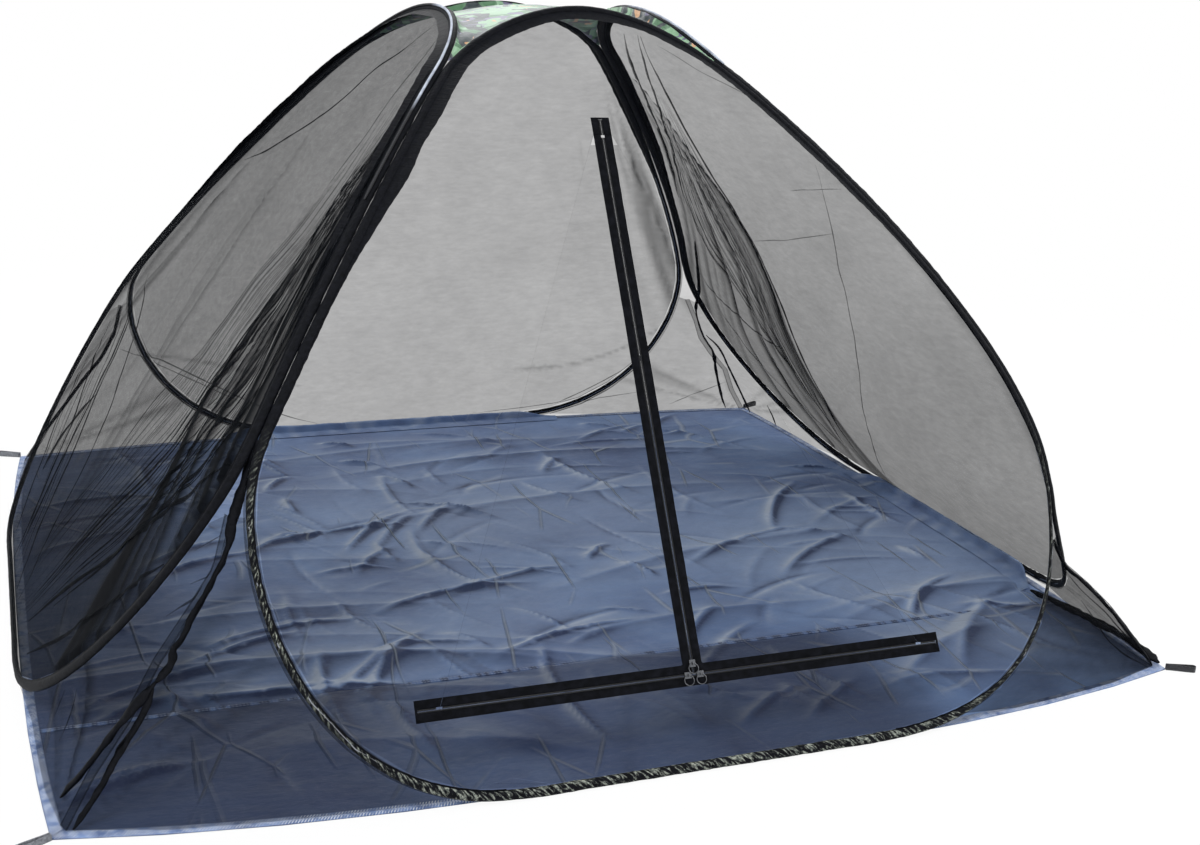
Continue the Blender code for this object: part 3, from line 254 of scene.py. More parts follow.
# The photo's camera: its place in metres, its turns in radians and its focal length in photo pixels
PHOTO_PLACE = (-1.0135636, -2.9520987, 1.2366107)
PHOTO_YAW, PHOTO_PITCH, PHOTO_ROLL = 0.3844164, -0.2922394, 0.0474370
PHOTO_FOCAL = 1524.65
PHOTO_SIZE = (1200.0, 845.0)

# Folds of the net as the photo shows them: each has its width in mm, how dark it is, and the
# pixels that it runs through in the 1200 by 845 photo
FOLD_PIXELS = {
    "left_net": (
        (6.8, 0.9, ((432, 28), (400, 52), (350, 92), (320, 120), (300, 135), (272, 148), (245, 160))),
        (4.0, 0.6, ((443, 32), (420, 62), (400, 90), (378, 120), (355, 150), (335, 180), (325, 193))),
        (3.2, 0.5, ((446, 36), (432, 70), (410, 100), (392, 135), (372, 165), (352, 196))),
        (8, 0.8, ((141, 290), (128, 325), (112, 365), (92, 410), (78, 445), (55, 490), (35, 540),
            (18, 590))),
        (6, 0.7, ((150, 275), (140, 330), (130, 352), (112, 410), (95, 455), (70, 500), (45, 545),
            (20, 600))),
        (10, 0.85, ((135, 300), (105, 375), (85, 420), (66, 448), (40, 500), (20, 550))),
        (8, 0.8, ((112, 322), (92, 360), (82, 395), (72, 430), (52, 470), (28, 520), (14, 560))),
        (6, 0.7, ((92, 352), (67, 400), (50, 440), (32, 480), (17, 530))),
        (16, 0.8, ((98, 395), (84, 404), (64, 428), (52, 452), (44, 470))),
        (12, 0.6, ((176, 563), (130, 595), (90, 625), (50, 645), (30, 655))),
        (14, 0.75, ((236, 470), (180, 510), (120, 548), (70, 585), (30, 622))),
    ),
    "right_net": (
        (12, 0.95, ((640, 37), (658, 88), (683, 133), (716, 186), (742, 232), (766, 279), (789, 322),
            (809, 365), (832, 415), (852, 458), (865, 484))),
        (6, 0.7, ((686, 262), (709, 298), (749, 335), (782, 352))),
        (6, 0.6, ((716, 308), (746, 358), (782, 388), (819, 421), (852, 458))),
        (14, 0.9, ((622, 36), (634, 86), (652, 128), (669, 159), (677, 199))),
        (10, 0.8, ((637, 36), (653, 109), (673, 172), (682, 205))),
        (4.4, 0.3, ((814, 166), (827, 206), (834, 250), (839, 298), (852, 352), (865, 388), (875, 431),
            (885, 491))),
        (2.6, 0.2, ((752, 242), (790, 240), (832, 234))),
        (2.6, 0.2, ((789, 192), (815, 190), (839, 191))),
        (3.2, 0.3, ((656, 46), (676, 60), (699, 73), (725, 86), (749, 98))),
    ),
    "back": (
        (4.4, 0.55, ((120, 349), (165, 363), (207, 380), (230, 394), (262, 408), (300, 424), (327, 435))),
        (3.2, 0.4, ((144, 360), (175, 373), (204, 384), (240, 402))),
        (3.6, 0.5, ((555, 404), (590, 390), (620, 374), (640, 360))),
        (3.6, 0.45, ((669, 405), (690, 396), (716, 386), (732, 381))),
        (3.2, 0.35, ((482, 425), (549, 410), (600, 398), (640, 392))),
    ),
    "front_left": (
        (2.8, 0.45, ((225, 532), (210, 541), (195, 550))),
        (4.4, 0.6, ((207, 590), (188, 602), (168, 616))),
        (3.2, 0.5, ((222, 571), (206, 577), (192, 583))),
        (4.4, 0.6, ((67, 690), (62, 704), (57, 718))),
        (5.6, 0.7, ((79, 690), (75, 708), (72, 724), (63, 742))),
    ),
    "front_right": (
        (3.6, 0.5, ((1066, 540), (1085, 560), (1120, 600), (1155, 650))),
        (3.6, 0.45, ((1064, 570), (1090, 600), (1130, 640), (1160, 662))),
        (3.0, 0.4, ((1075, 520), (1095, 560), (1110, 620), (1150, 660))),
        (4.0, 0.5, ((1080, 600), (1100, 640), (1120, 660), (1168, 664))),
    ),
}

# Lines between which bundles of folds run, in the same pixels of the photo
GUIDE_PIXELS = {
    ("left_net", "a"): ((446, 48), (405, 110), (378, 150), (350, 190), (320, 228), (290, 265), (262, 305),
        (240, 340), (215, 375), (190, 412), (150, 460), (100, 515), (60, 555), (25, 600)),
    ("left_net", "b"): ((436, 82), (414, 120), (385, 172), (357, 232), (336, 278), (314, 318), (292, 360),
        (272, 403), (246, 448), (190, 500), (130, 545), (70, 595), (28, 632)),
    ("left_net", "c"): ((330, 190), (290, 240), (240, 300), (200, 350), (150, 410), (90, 480), (60, 520),
        (25, 575)),
    ("right_net", "a"): ((650, 88), (664, 150), (677, 190), (683, 215), (696, 246), (722, 285),
        (755, 316), (782, 352), (815, 395), (845, 448)),
    ("right_net", "b"): ((656, 88), (680, 133), (713, 186), (739, 232), (763, 279), (786, 322),
        (806, 365), (829, 415), (849, 458)),
}

# Strands of the bunched corner seams: width in mm and the pixels that each runs through
SEAM_PIXELS = {
    "front_left": (
        (19, ((232, 522), (228, 548), (216, 574), (203, 598), (192, 616),
            (183, 637), (174, 649), (171, 664), (156, 682))),
        (20, ((156, 682), (120, 724), (90, 763), (61, 797))),
        (17, ((153, 688), (141, 718), (120, 751), (99, 790), (75, 832))),
    ),
    "back_right": (
        (10, ((689, 289), (696, 310), (703, 335), (710, 352), (716, 371), (722, 398), (732, 415))),
        (9.0, ((706, 335), (719, 348), (729, 368), (742, 395), (749, 415))),
        (6, ((767, 405), (772, 415), (775, 428))),
    ),
}


def photo_axes():
    """The photo camera's right, up and forward directions."""
    level = math.cos(PHOTO_PITCH)
    forward = Vector((math.sin(PHOTO_YAW) * level, math.cos(PHOTO_YAW) * level, math.sin(PHOTO_PITCH)))
    right = Vector((math.cos(PHOTO_YAW), -math.sin(PHOTO_YAW), 0.0))
    above = right.cross(forward)
    c, s = math.cos(PHOTO_ROLL), math.sin(PHOTO_ROLL)
    return right * c + above * s, above * c - right * s, forward


# A pixel whose line of sight misses is tried again on rings round it, of these radii in pixels
SEARCH_RINGS = (3, 6, 10, 15, 22)
# How many walls a line of sight may pass through
SIGHT_WALLS = 12


def sight(nodes, pixels, far=False):
    """Where lines of sight through photo pixels meet the nodes: first meeting, or the last with far."""
    points, faces = [], []
    for node in nodes:
        mesh = NODES[node].data
        faces += [[i + len(points) for i in face.vertices] for face in mesh.polygons]
        points += [v.co.copy() for v in mesh.vertices]
    tree = BVHTree.FromPolygons(points, faces)
    right, above, forward = photo_axes()
    around = [(0.0, 0.0)]
    for reach in SEARCH_RINGS:
        around += [(reach * math.cos(a), reach * math.sin(a)) for a in range(12)]
    out = []
    for u, v in pixels:
        for du, dv in around:
            across, down = u + du - PHOTO_SIZE[0] / 2, v + dv - PHOTO_SIZE[1] / 2
            way = forward * PHOTO_FOCAL + right * across - above * down
            way.normalize()
            spot, start = None, Vector(PHOTO_PLACE)
            for _ in range(SIGHT_WALLS if far else 1):
                found = tree.ray_cast(start, way)[0]
                if found is None:
                    break
                spot, start = found, found + way * 0.001
            if spot is not None:
                out.append(spot[:])
                break
    return np.array(out)


def new_piece(name, points, faces, finish, layers=None):
    """Smooth mesh object with its finish and its layers of numbers for each point."""
    mesh = bpy.data.meshes.new(name)
    mesh.from_pydata([tuple(map(float, p)) for p in points], [], [tuple(map(int, f)) for f in faces])
    mesh.update()
    for label, values in (layers or {}).items():
        layer = mesh.attributes.new(label, "FLOAT", "POINT")
        layer.data.foreach_set("value", np.asarray(values, np.float32))
    mesh.materials.append(finish)
    made = bpy.data.objects.new(name, mesh)
    bpy.context.scene.collection.objects.link(made)
    mesh.polygons.foreach_set("use_smooth", [True] * len(mesh.polygons))
    return made


def turn_out(made):
    """Turns all faces outward on a closed piece."""
    work = bmesh.new()
    work.from_mesh(made.data)
    bmesh.ops.recalc_face_normals(work, faces=work.faces)
    work.to_mesh(made.data)
    work.free()
    return made


def thicken(made, thickness, offset):
    """Gives a sheet its thickness as real faces."""
    solid = made.modifiers.new("cloth", "SOLIDIFY")
    solid.thickness = thickness
    solid.offset = offset
    graph = bpy.context.evaluated_depsgraph_get()
    mesh = bpy.data.meshes.new_from_object(made.evaluated_get(graph), preserve_all_data_layers=True,
                                           depsgraph=graph)
    old = made.data
    made.modifiers.clear()
    made.data = mesh
    bpy.data.meshes.remove(old)


def seat(made, body, slot, *nodes):
    """Lets the piece ride on a body and stand for the nodes named; its slot is not used."""
    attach(made, body)
    if nodes:
        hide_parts(*nodes)


# The rim of a sheet's solid is narrower than this, and its points are welded within this gap
RIM_WIDTH = 0.0009
WELD_GAP = 0.00005
SMOOTH_TURNS = 12
# Thickness of the floor cloth and the zip tapes, and of the crown cloth
CLOTH_THICK = 0.0007
CROWN_THICK = 0.0008


def stands_up(face, long_edge):
    """Whether a narrow face meets a neighbour squarely, as a sheet's rim does and a sliver doesn't."""
    for edge in face.edges:
        if edge.calc_length() > long_edge:
            for other in edge.link_faces:
                if other is not face and abs(other.normal.dot(face.normal)) < 0.5:
                    return True
    return False


def cloth_surface(node, longest, turns=6):
    """The outer face of a sheet node as one open surface, welded and divided into small even faces."""
    work = bmesh.new()
    work.from_mesh(NODES[node].data)
    bmesh.ops.remove_doubles(work, verts=work.verts, dist=WELD_GAP)
    work.normal_update()
    middle = Vector((0.0, 0.0, 0.35))
    drop = []
    for face in work.faces:
        longest_edge = max(edge.calc_length() for edge in face.edges)
        wall = face.calc_area() / longest_edge < RIM_WIDTH and stands_up(face, longest_edge / 2)
        away = face.calc_center_median() - middle
        if node.startswith("floor"):
            away = Vector((0.0, 0.0, 1.0))
        if wall or face.normal.dot(away) < 0.0:
            drop.append(face)
    bmesh.ops.delete(work, geom=drop, context="FACES")
    for _ in range(turns):
        edges = [edge for edge in work.edges if edge.calc_length() > longest]
        if not edges:
            break
        bmesh.ops.subdivide_edges(work, edges=edges, cuts=1)
        wide = [f for f in work.faces if len(f.verts) > 3]
        bmesh.ops.triangulate(work, faces=wide, quad_method="SHORT_EDGE")
    for _ in range(SMOOTH_TURNS):
        inner = [v for v in work.verts if not v.is_boundary]
        bmesh.ops.smooth_vert(work, verts=inner, factor=0.5,
                              use_axis_x=True, use_axis_y=True, use_axis_z=True)
    work.normal_update()
    points = np.array([v.co[:] for v in work.verts])
    normals = np.array([v.normal[:] for v in work.verts])
    faces = [[v.index for v in f.verts] for f in work.faces]
    rim = np.array([v.is_boundary for v in work.verts])
    work.free()
    return points, normals, faces, rim


def tube_shape(centres, side_way, face_way, half_side, half_face, around):
    """Points and faces of a closed soft tube, with functions for its half widths at each ring and angle."""
    count = len(centres)
    points = []
    for k in range(count):
        for j in range(around):
            turn = 2.0 * math.pi * j / around
            c, s = math.cos(turn), math.sin(turn)
            reach = side_way[k] * (half_side(k, turn) * c) + face_way[k] * (half_face(k, turn) * s)
            points.append(centres[k] + reach)
    faces = []
    for k in range(count - 1):
        for j in range(around):
            a = k * around + j
            b = k * around + (j + 1) % around
            faces.append((a, b, b + around, a + around))
    faces.append(list(range(around))[::-1])
    faces.append([(count - 1) * around + j for j in range(around)])
    return points, faces


def tube(name, centres, side_way, face_way, half_side, half_face, finish, around, layers):
    """Closed soft tube round a line as an object, with the angle round it as a layer."""
    points, faces = tube_shape(centres, side_way, face_way, half_side, half_face, around)
    spread = {"turn": np.tile(2.0 * math.pi * np.arange(around) / around, len(centres))}
    for label, values in layers.items():
        values = np.asarray(values)
        spread[label] = values.ravel() if values.ndim == 2 else np.repeat(values, around)
    return turn_out(new_piece(name, points, faces, finish, spread))


def settled(rows):
    """A traced line with its small shakes taken out."""
    rows = np.array(rows, float)
    for _ in range(2):
        rows[1:-1] = (rows[:-2] + 2.0 * rows[1:-1] + rows[2:]) / 4.0
    return rows


def spaced(rows, count):
    """The line cut to evenly spaced places."""
    along = lengths_along(rows)
    wanted = np.linspace(0.0, along[-1], count)
    return np.stack([np.interp(wanted, along, rows[:, i]) for i in range(3)], axis=1)


# Points of each fold that runs between two guide lines
BUNDLE_STEPS = 28


def bundle(first, last, count, widths, darks, seed):
    """Folds that run between two guide lines, each with its own start, end, width and depth."""
    rand = random.Random(seed)
    a, b = spaced(settled(first), BUNDLE_STEPS), spaced(settled(last), BUNDLE_STEPS)
    out = []
    for i in range(count):
        share = (i + rand.random()) / count
        bend = 0.12 * (rand.random() - 0.5)
        begin = int(BUNDLE_STEPS * 0.3 * rand.random() ** 2)
        stop = BUNDLE_STEPS - int(BUNDLE_STEPS * 0.45 * rand.random() ** 1.6)
        swing = bend * np.sin(np.linspace(0.0, 5.0, BUNDLE_STEPS) + 6.0 * rand.random())
        shares = np.clip(share + swing, 0.0, 1.0)[:, None]
        rows = (a * (1.0 - shares) + b * shares)[begin:stop]
        width = widths[0] + (widths[1] - widths[0]) * rand.random() ** 2
        out.append((width, darks[0] + (darks[1] - darks[0]) * rand.random(), rows))
    return out


# A pleat from side to side: place across, height and darkness, as shares of its half width and dark
PLEAT = ((-1.0, 0.0, 0.15), (-0.55, 0.3, 1.0), (0.55, 0.3, 1.0), (1.0, 0.0, 0.15))


def fold_shape(tree, lines, lift):
    """Narrow raised pleats laid along lines on a surface, and how dark each of their places is."""
    points, faces, darks = [], [], []
    for number, (width, dark, rows) in enumerate(lines):
        rows = spline(settled(rows), 0.014)
        count = len(rows)
        base, out = [], []
        for p in rows:
            spot, normal, _, _ = tree.find_nearest(Vector(p))
            base.append(spot[:])
            out.append(normal[:])
        base, out = np.array(base), np.array(out)
        side = np.cross(directions(base), out)
        side /= np.maximum(np.linalg.norm(side, axis=1), 1e-6)[:, None]
        first = len(points)
        for k in range(count):
            end = min(k, count - 1 - k) / max(3.0, 0.16 * count)
            ragged = 0.85 + 0.45 * rough(k * 0.35, number * 3.7)
            wide = width / 2000.0 * (0.3 + 0.7 * smooth(end)) * ragged
            level = lift + 0.0004 * (number % 5)
            for away, rise, share in PLEAT:
                points.append(base[k] + side[k] * (wide * away) + out[k] * (level + wide * rise))
                darks.append(dark * share * (0.35 + 0.65 * smooth(end)))
        faces += band_faces(count, 4, first)
    return points, faces, darks


class Nodes:
    """Short way to write a material's nodes."""

    def __init__(self, name):
        self.material = bpy.data.materials.new(name)
        self.material.use_nodes = True
        self.tree = self.material.node_tree
        self.shader = self.tree.nodes["Principled BSDF"]
        self.place = self.add("ShaderNodeTexCoord").outputs["Object"]

    def add(self, kind, **values):
        node = self.tree.nodes.new(kind)
        for key, value in values.items():
            setattr(node, key, value)
        return node

    def link(self, a, b):
        self.tree.links.new(a, b)
        return b

    def set(self, **values):
        for key, value in values.items():
            socket = self.shader.inputs[key.replace("_", " ")]
            if isinstance(value, (int, float, tuple)):
                socket.default_value = value
            else:
                self.link(value, socket)

    def stretched(self, scale=(1.0, 1.0, 1.0), turn=(0.0, 0.0, 0.0)):
        node = self.add("ShaderNodeMapping")
        node.inputs["Scale"].default_value = scale
        node.inputs["Rotation"].default_value = turn
        self.link(self.place, node.inputs["Vector"])
        return node.outputs["Vector"]

    def noise(self, scale, detail=3.0, rough=0.55, vector=None, distortion=0.0):
        node = self.add("ShaderNodeTexNoise")
        node.inputs["Scale"].default_value = scale
        node.inputs["Detail"].default_value = detail
        node.inputs["Roughness"].default_value = rough
        node.inputs["Distortion"].default_value = distortion
        self.link(vector or self.place, node.inputs["Vector"])
        return node.outputs["Fac"]

    def cell_edges(self, scale, vector):
        node = self.add("ShaderNodeTexVoronoi", feature="DISTANCE_TO_EDGE")
        node.inputs["Scale"].default_value = scale
        self.link(vector, node.inputs["Vector"])
        return node.outputs["Distance"]

    def wave(self, scale, direction="X", shape="SIN"):
        node = self.add("ShaderNodeTexWave", bands_direction=direction, wave_profile=shape)
        node.inputs["Scale"].default_value = scale
        self.link(self.place, node.inputs["Vector"])
        return node.outputs["Fac"]

    def value(self, label):
        return self.add("ShaderNodeAttribute", attribute_name=label).outputs["Fac"]

    def math(self, operation, a, b=0.0, clamp=False):
        node = self.add("ShaderNodeMath", operation=operation, use_clamp=clamp)
        for socket, given in zip(node.inputs, (a, b)):
            if isinstance(given, (int, float)):
                socket.default_value = given
            else:
                self.link(given, socket)
        return node.outputs[0]

    def span(self, a, low, high, out_low=0.0, out_high=1.0):
        node = self.add("ShaderNodeMapRange")
        self.link(a, node.inputs["Value"])
        for key, given in zip(("From Min", "From Max", "To Min", "To Max"), (low, high, out_low, out_high)):
            node.inputs[key].default_value = given
        return node.outputs["Result"]

    def mix(self, share, a, b):
        node = self.add("ShaderNodeMix", data_type="RGBA")
        for socket, given in ((node.inputs[0], share), (node.inputs[6], a), (node.inputs[7], b)):
            if isinstance(given, (int, float)):
                socket.default_value = given
            elif isinstance(given, tuple):
                socket.default_value = (*given, 1.0)
            else:
                self.link(given, socket)
        return node.outputs[2]

    def between(self, given, low, high, first, second):
        """Colour that runs from the first to the second while the given value runs from low to high."""
        return self.mix(self.span(given, low, high), shade(first), shade(second))

    def both(self, a, b):
        return self.math("ADD", a, b)

    def times(self, a, b, clamp=False):
        return self.math("MULTIPLY", a, b, clamp)

    def bump(self, height, strength, distance, after=None):
        node = self.add("ShaderNodeBump")
        node.inputs["Strength"].default_value = strength
        node.inputs["Distance"].default_value = distance
        self.link(height, node.inputs["Height"])
        if after is not None:
            self.link(after, node.inputs["Normal"])
        return node.outputs["Normal"]


def shade(colour):
    """Linear colour from the 0 to 255 screen values that cloth charts give."""
    out = []
    for part in colour:
        part = part / 255.0
        out.append(part / 12.92 if part <= 0.04045 else ((part + 0.055) / 1.055) ** 2.4)
    return tuple(out)


def net_material():
    settings = bpy.context.scene.net_tent_finish
    n = Nodes("black_mosquito_mesh")
    gather = n.value("gather")
    mottle = n.noise(34.0, 4.0, 0.65, n.stretched((1.0, 1.0, 3.0)))
    cloud = n.noise(5.0, 3.0, 0.6)
    thin = n.span(mottle, 0.25, 0.75, -0.04, 0.05)
    thin = n.both(thin, n.span(cloud, 0.3, 0.7, -0.03, 0.03))
    weave = n.times(n.wave(330.0, "Z"), n.wave(330.0, "DIAGONAL"))
    thin = n.both(thin, n.span(weave, 0.0, 1.0, -0.015, 0.015))
    base = n.both(thin, n.times(n.value("layer"), settings.net_cover))
    bare = n.math("SUBTRACT", 1.0, base)
    cover = n.math("ADD", base, n.times(gather, bare), clamp=True)
    n.set(Alpha=cover, Roughness=0.9, Specular_IOR_Level=0.04)
    n.set(Base_Color=n.between(mottle, 0.3, 0.8, (2, 3, 6), (15, 17, 20)))
    n.set(Normal=n.bump(mottle, 0.25, 0.001))
    return n.material


def sleeve_material():
    n = Nodes("black_sleeve_polyester")
    weave = n.both(n.wave(520.0, "X"), n.wave(520.0, "Z"))
    crinkle = n.noise(130.0, 4.0, 0.6)
    wrap = n.value("wrap")
    length = n.value("length")
    turn = n.value("turn")
    spread = n.add("ShaderNodeCombineXYZ")
    n.link(n.both(n.times(length, 150.0), n.times(turn, 1.1)), spread.inputs["X"])
    n.link(n.times(turn, 0.55), spread.inputs["Y"])
    pleats = n.noise(1.0, 3.0, 0.6, spread.outputs["Vector"], 0.6)
    flecks = n.span(pleats, 0.5, 0.62)
    dark = n.between(crinkle, 0.35, 0.75, (2, 3, 6), (15, 16, 22))
    pale = n.between(n.noise(210.0, 2.0), 0.35, 0.65, (66, 72, 70), (158, 162, 150))
    n.set(Base_Color=n.mix(n.times(wrap, flecks), dark, pale), Roughness=0.6)
    first = n.bump(weave, 0.2, 0.0003)
    second = n.bump(pleats, 0.6, 0.002, first)
    n.set(Normal=n.bump(crinkle, 0.6, 0.0012, second))
    n.shader.inputs["Specular IOR Level"].default_value = 0.08
    return n.material


def floor_material():
    settings = bpy.context.scene.net_tent_finish
    n = Nodes("blue_grey_coated_polyester")
    slope = n.value("slope")
    glow = n.value("glow")
    broad = n.noise(2.6, 3.0, 0.6)
    mid = n.noise(8.0, 4.0, 0.6, n.stretched((0.8, 1.6, 1.0), (0.0, 0.0, 0.25)))
    fine = n.noise(60.0, 3.0, 0.6)
    ways = ((5.0, (1.0, 0.3, 1.0), 0.75, 3.1), (6.0, (1.0, 0.35, 1.0), -0.85, 3.7))
    crease = None
    for scale, stretch, turn, patch in ways:
        edges = n.cell_edges(scale, n.stretched(stretch, (0.0, 0.0, turn)))
        edges = n.span(edges, 0.0, 0.018, 1.0, 0.0)
        patches = n.noise(patch, 2.0, 0.5, n.stretched(turn=(0.0, 0.0, turn + 1.0)))
        keep = n.span(patches, 0.5, 0.6)
        lines = n.times(edges, keep)
        crease = lines if crease is None else n.math("MAXIMUM", crease, lines)
    deep, base, pale = tuple(settings.floor_deep), tuple(settings.floor_colour), tuple(settings.floor_pale_and_highlight)
    tone = n.mix(n.span(broad, 0.36, 0.62), deep, base)
    tone = n.mix(n.span(mid, 0.5, 0.85, 0.0, 0.5), tone, pale)
    # Painted highlight: paler colour in the brightly lit places of the cloth.
    tone = n.mix(n.times(glow, 0.75, clamp=True), tone, pale)
    # Painted highlight where the cloth turns to the light, and painted shade where it turns away.
    tone = n.mix(n.span(slope, 0.0, 0.8, 0.0, 0.9), tone, shade((204, 216, 234)))
    tone = n.mix(n.span(slope, -0.8, 0.0, 0.9, 0.0), tone, shade((46, 58, 94)))
    # Pale colour painted along the crease lines as their highlight.
    tone = n.mix(n.times(crease, 0.6), tone, shade((206, 216, 230)))
    # Painted shade: darker colour on the front strip and the left side under the net.
    tone = n.mix(n.times(n.value("painted_shade"), 0.82, clamp=True), tone, shade((40, 50, 80)))
    n.set(Base_Color=tone, Roughness=n.span(fine, 0.3, 0.7, 0.5, 0.66))
    weave = n.both(n.wave(620.0, "X"), n.wave(620.0, "Y"))
    first = n.bump(weave, 0.12, 0.0002)
    second = n.bump(n.both(mid, n.times(fine, 0.12)), 0.5, 0.016, first)
    n.set(Normal=n.bump(crease, 0.9, 0.006, second))
    n.shader.inputs["Specular IOR Level"].default_value = 0.25
    n.shader.inputs["Sheen Weight"].default_value = 0.1
    return n.material


def hem_material():
    n = Nodes("pale_blue_overlock_hem")
    length = n.value("length")
    across = n.value("across")
    zig = n.math("PINGPONG", n.times(length, 210.0), 0.5)
    near = n.math("ABSOLUTE", n.math("SUBTRACT", n.times(across, 0.5), zig))
    thread = n.span(near, 0.05, 0.11, 1.0, 0.0)
    worn = n.noise(60.0, 3.0)
    thread = n.times(thread, n.span(worn, 0.35, 0.55))
    tone = n.between(n.noise(25.0, 3.0), 0.3, 0.7, (62, 82, 122), (118, 140, 182))
    n.set(Base_Color=n.mix(thread, tone, shade((226, 230, 236))), Roughness=0.7)
    n.set(Normal=n.bump(n.both(thread, n.times(worn, 0.4)), 0.7, 0.0008))
    return n.material


def crown_material():
    settings = bpy.context.scene.net_tent_finish
    n = Nodes("printed_camouflage_polyester")
    flat = n.stretched((1.0, 1.7, 1.2), (0.0, 0.0, 0.5))
    one = n.noise(9.0, 2.0, 0.5, flat, 0.8)
    two = n.noise(12.0, 2.0, 0.5, n.stretched((1.6, 1.0, 1.0), (0.3, 0.0, -0.4)), 0.9)
    three = n.noise(15.0, 2.0, 0.5, n.stretched((1.0, 1.8, 1.0), (0.0, 0.5, 1.2)), 0.9)
    four = n.noise(21.0, 2.0, 0.5, n.stretched((1.8, 1.0, 1.0), (0.0, 0.0, 2.0)), 0.8)
    tone = n.mix(n.span(one, 0.5, 0.515), tuple(settings.camo_pale), tuple(settings.camo_green))
    tone = n.mix(n.span(two, 0.56, 0.572), tone, tuple(settings.camo_dark))
    tone = n.mix(n.span(three, 0.6, 0.612), tone, shade((96, 92, 116)))
    tone = n.mix(n.span(four, 0.66, 0.672), tone, shade((188, 140, 96)))
    weave = n.both(n.wave(600.0, "X"), n.wave(600.0, "Y"))
    fold = n.noise(22.0, 4.0, 0.6)
    n.set(Base_Color=tone, Roughness=0.55, Normal=n.bump(fold, 0.5, 0.006, n.bump(weave, 0.15, 0.0002)))
    n.shader.inputs["Sheen Weight"].default_value = 0.15
    return n.material


def tape_material():
    n = Nodes("black_woven_zip_tape")
    across = n.value("across")
    ribs = n.math("SINE", n.times(across, 9000.0))
    cross = n.wave(900.0, "X")
    dust = n.noise(90.0, 3.0)
    n.set(Base_Color=n.between(dust, 0.4, 0.8, (3, 4, 7), (17, 18, 24)), Roughness=0.8)
    n.set(Normal=n.bump(n.both(ribs, cross), 0.35, 0.0003))
    n.shader.inputs["Specular IOR Level"].default_value = 0.08
    return n.material


def coil_material():
    n = Nodes("black_nylon_zip_coil")
    wear = n.noise(300.0, 3.0)
    n.set(Base_Color=n.between(wear, 0.45, 0.8, (6, 7, 9), (30, 31, 36)), Roughness=0.5)
    n.set(Normal=n.bump(wear, 0.2, 0.0002))
    return n.material


def nickel_material():
    n = Nodes("nickel_plated_zinc")
    brushed = n.noise(700.0, 3.0, 0.6, n.stretched((1.0, 6.0, 1.0)))
    pits = n.noise(260.0, 4.0)
    n.set(Base_Color=n.between(pits, 0.55, 0.8, (112, 113, 116), (70, 70, 74)), Metallic=1.0)
    n.set(Roughness=n.span(brushed, 0.3, 0.7, 0.18, 0.36), Normal=n.bump(brushed, 0.1, 0.0001))
    return n.material


def steel_material(name, tone):
    n = Nodes(name)
    drawn = n.noise(500.0, 3.0, 0.6)
    n.set(Base_Color=n.mix(n.span(drawn, 0.4, 0.7), tone, tuple(v * 0.6 for v in tone)), Metallic=1.0)
    n.set(Roughness=n.span(drawn, 0.3, 0.7, 0.25, 0.45), Normal=n.bump(drawn, 0.1, 0.0001))
    return n.material


def piping_material():
    n = Nodes("pale_corded_piping")
    length = n.value("length")
    turn = n.value("turn")
    twist = n.math("SINE", n.both(n.times(length, 1500.0), turn))
    soil = n.noise(40.0, 3.0)
    tone = n.between(soil, 0.35, 0.75, (186, 192, 204), (120, 126, 142))
    spot = n.add("ShaderNodeSeparateXYZ")
    n.link(n.place, spot.inputs[0])
    high = n.times(n.span(spot.outputs["Z"], 0.985, 1.01), n.span(spot.outputs["Y"], -0.03, 0.02, 1.0, 0.0))
    n.set(Base_Color=n.mix(high, shade((14, 15, 20)), tone), Roughness=0.65)
    n.set(Normal=n.bump(twist, 0.5, 0.0005))
    return n.material


def webbing_material(name, dark, pale):
    n = Nodes(name)
    herring = n.wave(420.0, "DIAGONAL", shape="TRI")
    rows = n.wave(500.0, "Z")
    fuzz = n.noise(260.0, 3.0)
    n.set(Base_Color=n.between(fuzz, 0.35, 0.75, dark, pale), Roughness=0.85)
    n.set(Normal=n.bump(n.both(herring, rows), 0.6, 0.0005))
    n.shader.inputs["Sheen Weight"].default_value = 0.25
    return n.material


def thread_material():
    n = Nodes("pale_seam_thread")
    ply = n.noise(900.0, 2.0)
    n.set(Base_Color=n.between(ply, 0.3, 0.7, (140, 156, 190), (196, 206, 226)), Roughness=0.6)
    n.set(Normal=n.bump(ply, 0.3, 0.0002))
    return n.material


# Finishes made so far, and the function and values that make each
MADE = {}
MAKERS = {
    "net": (net_material,), "sleeve": (sleeve_material,), "floor": (floor_material,),
    "hem": (hem_material,), "crown": (crown_material,), "tape": (tape_material,),
    "coil": (coil_material,), "nickel": (nickel_material,), "piping": (piping_material,),
    "thread": (thread_material,),
    "spring": (steel_material, "spring_steel_strip", (0.3, 0.31, 0.34)),
    "ferrule": (steel_material, "crimped_steel_tube", (0.5, 0.5, 0.5)),
    "black_webbing": (webbing_material, "black_webbing", (16, 16, 20), (48, 48, 54)),
    "grey_webbing": (webbing_material, "grey_webbing", (92, 94, 100), (150, 152, 158)),
}


def stuff(kind):
    """The finish of that name, made once."""
    if kind not in MADE:
        maker, *given = MAKERS[kind]
        MADE[kind] = maker(*given)
    return MADE[kind]


def length_setting(name, description, default, low):
    return bpy.props.FloatProperty(name=name, description=description, default=default, min=low,
                                   unit="LENGTH")


def colour_setting(name, description, colour):
    return bpy.props.FloatVectorProperty(name=name, description=description, subtype="COLOR", size=3,
                                         min=0, max=1, default=shade(colour))


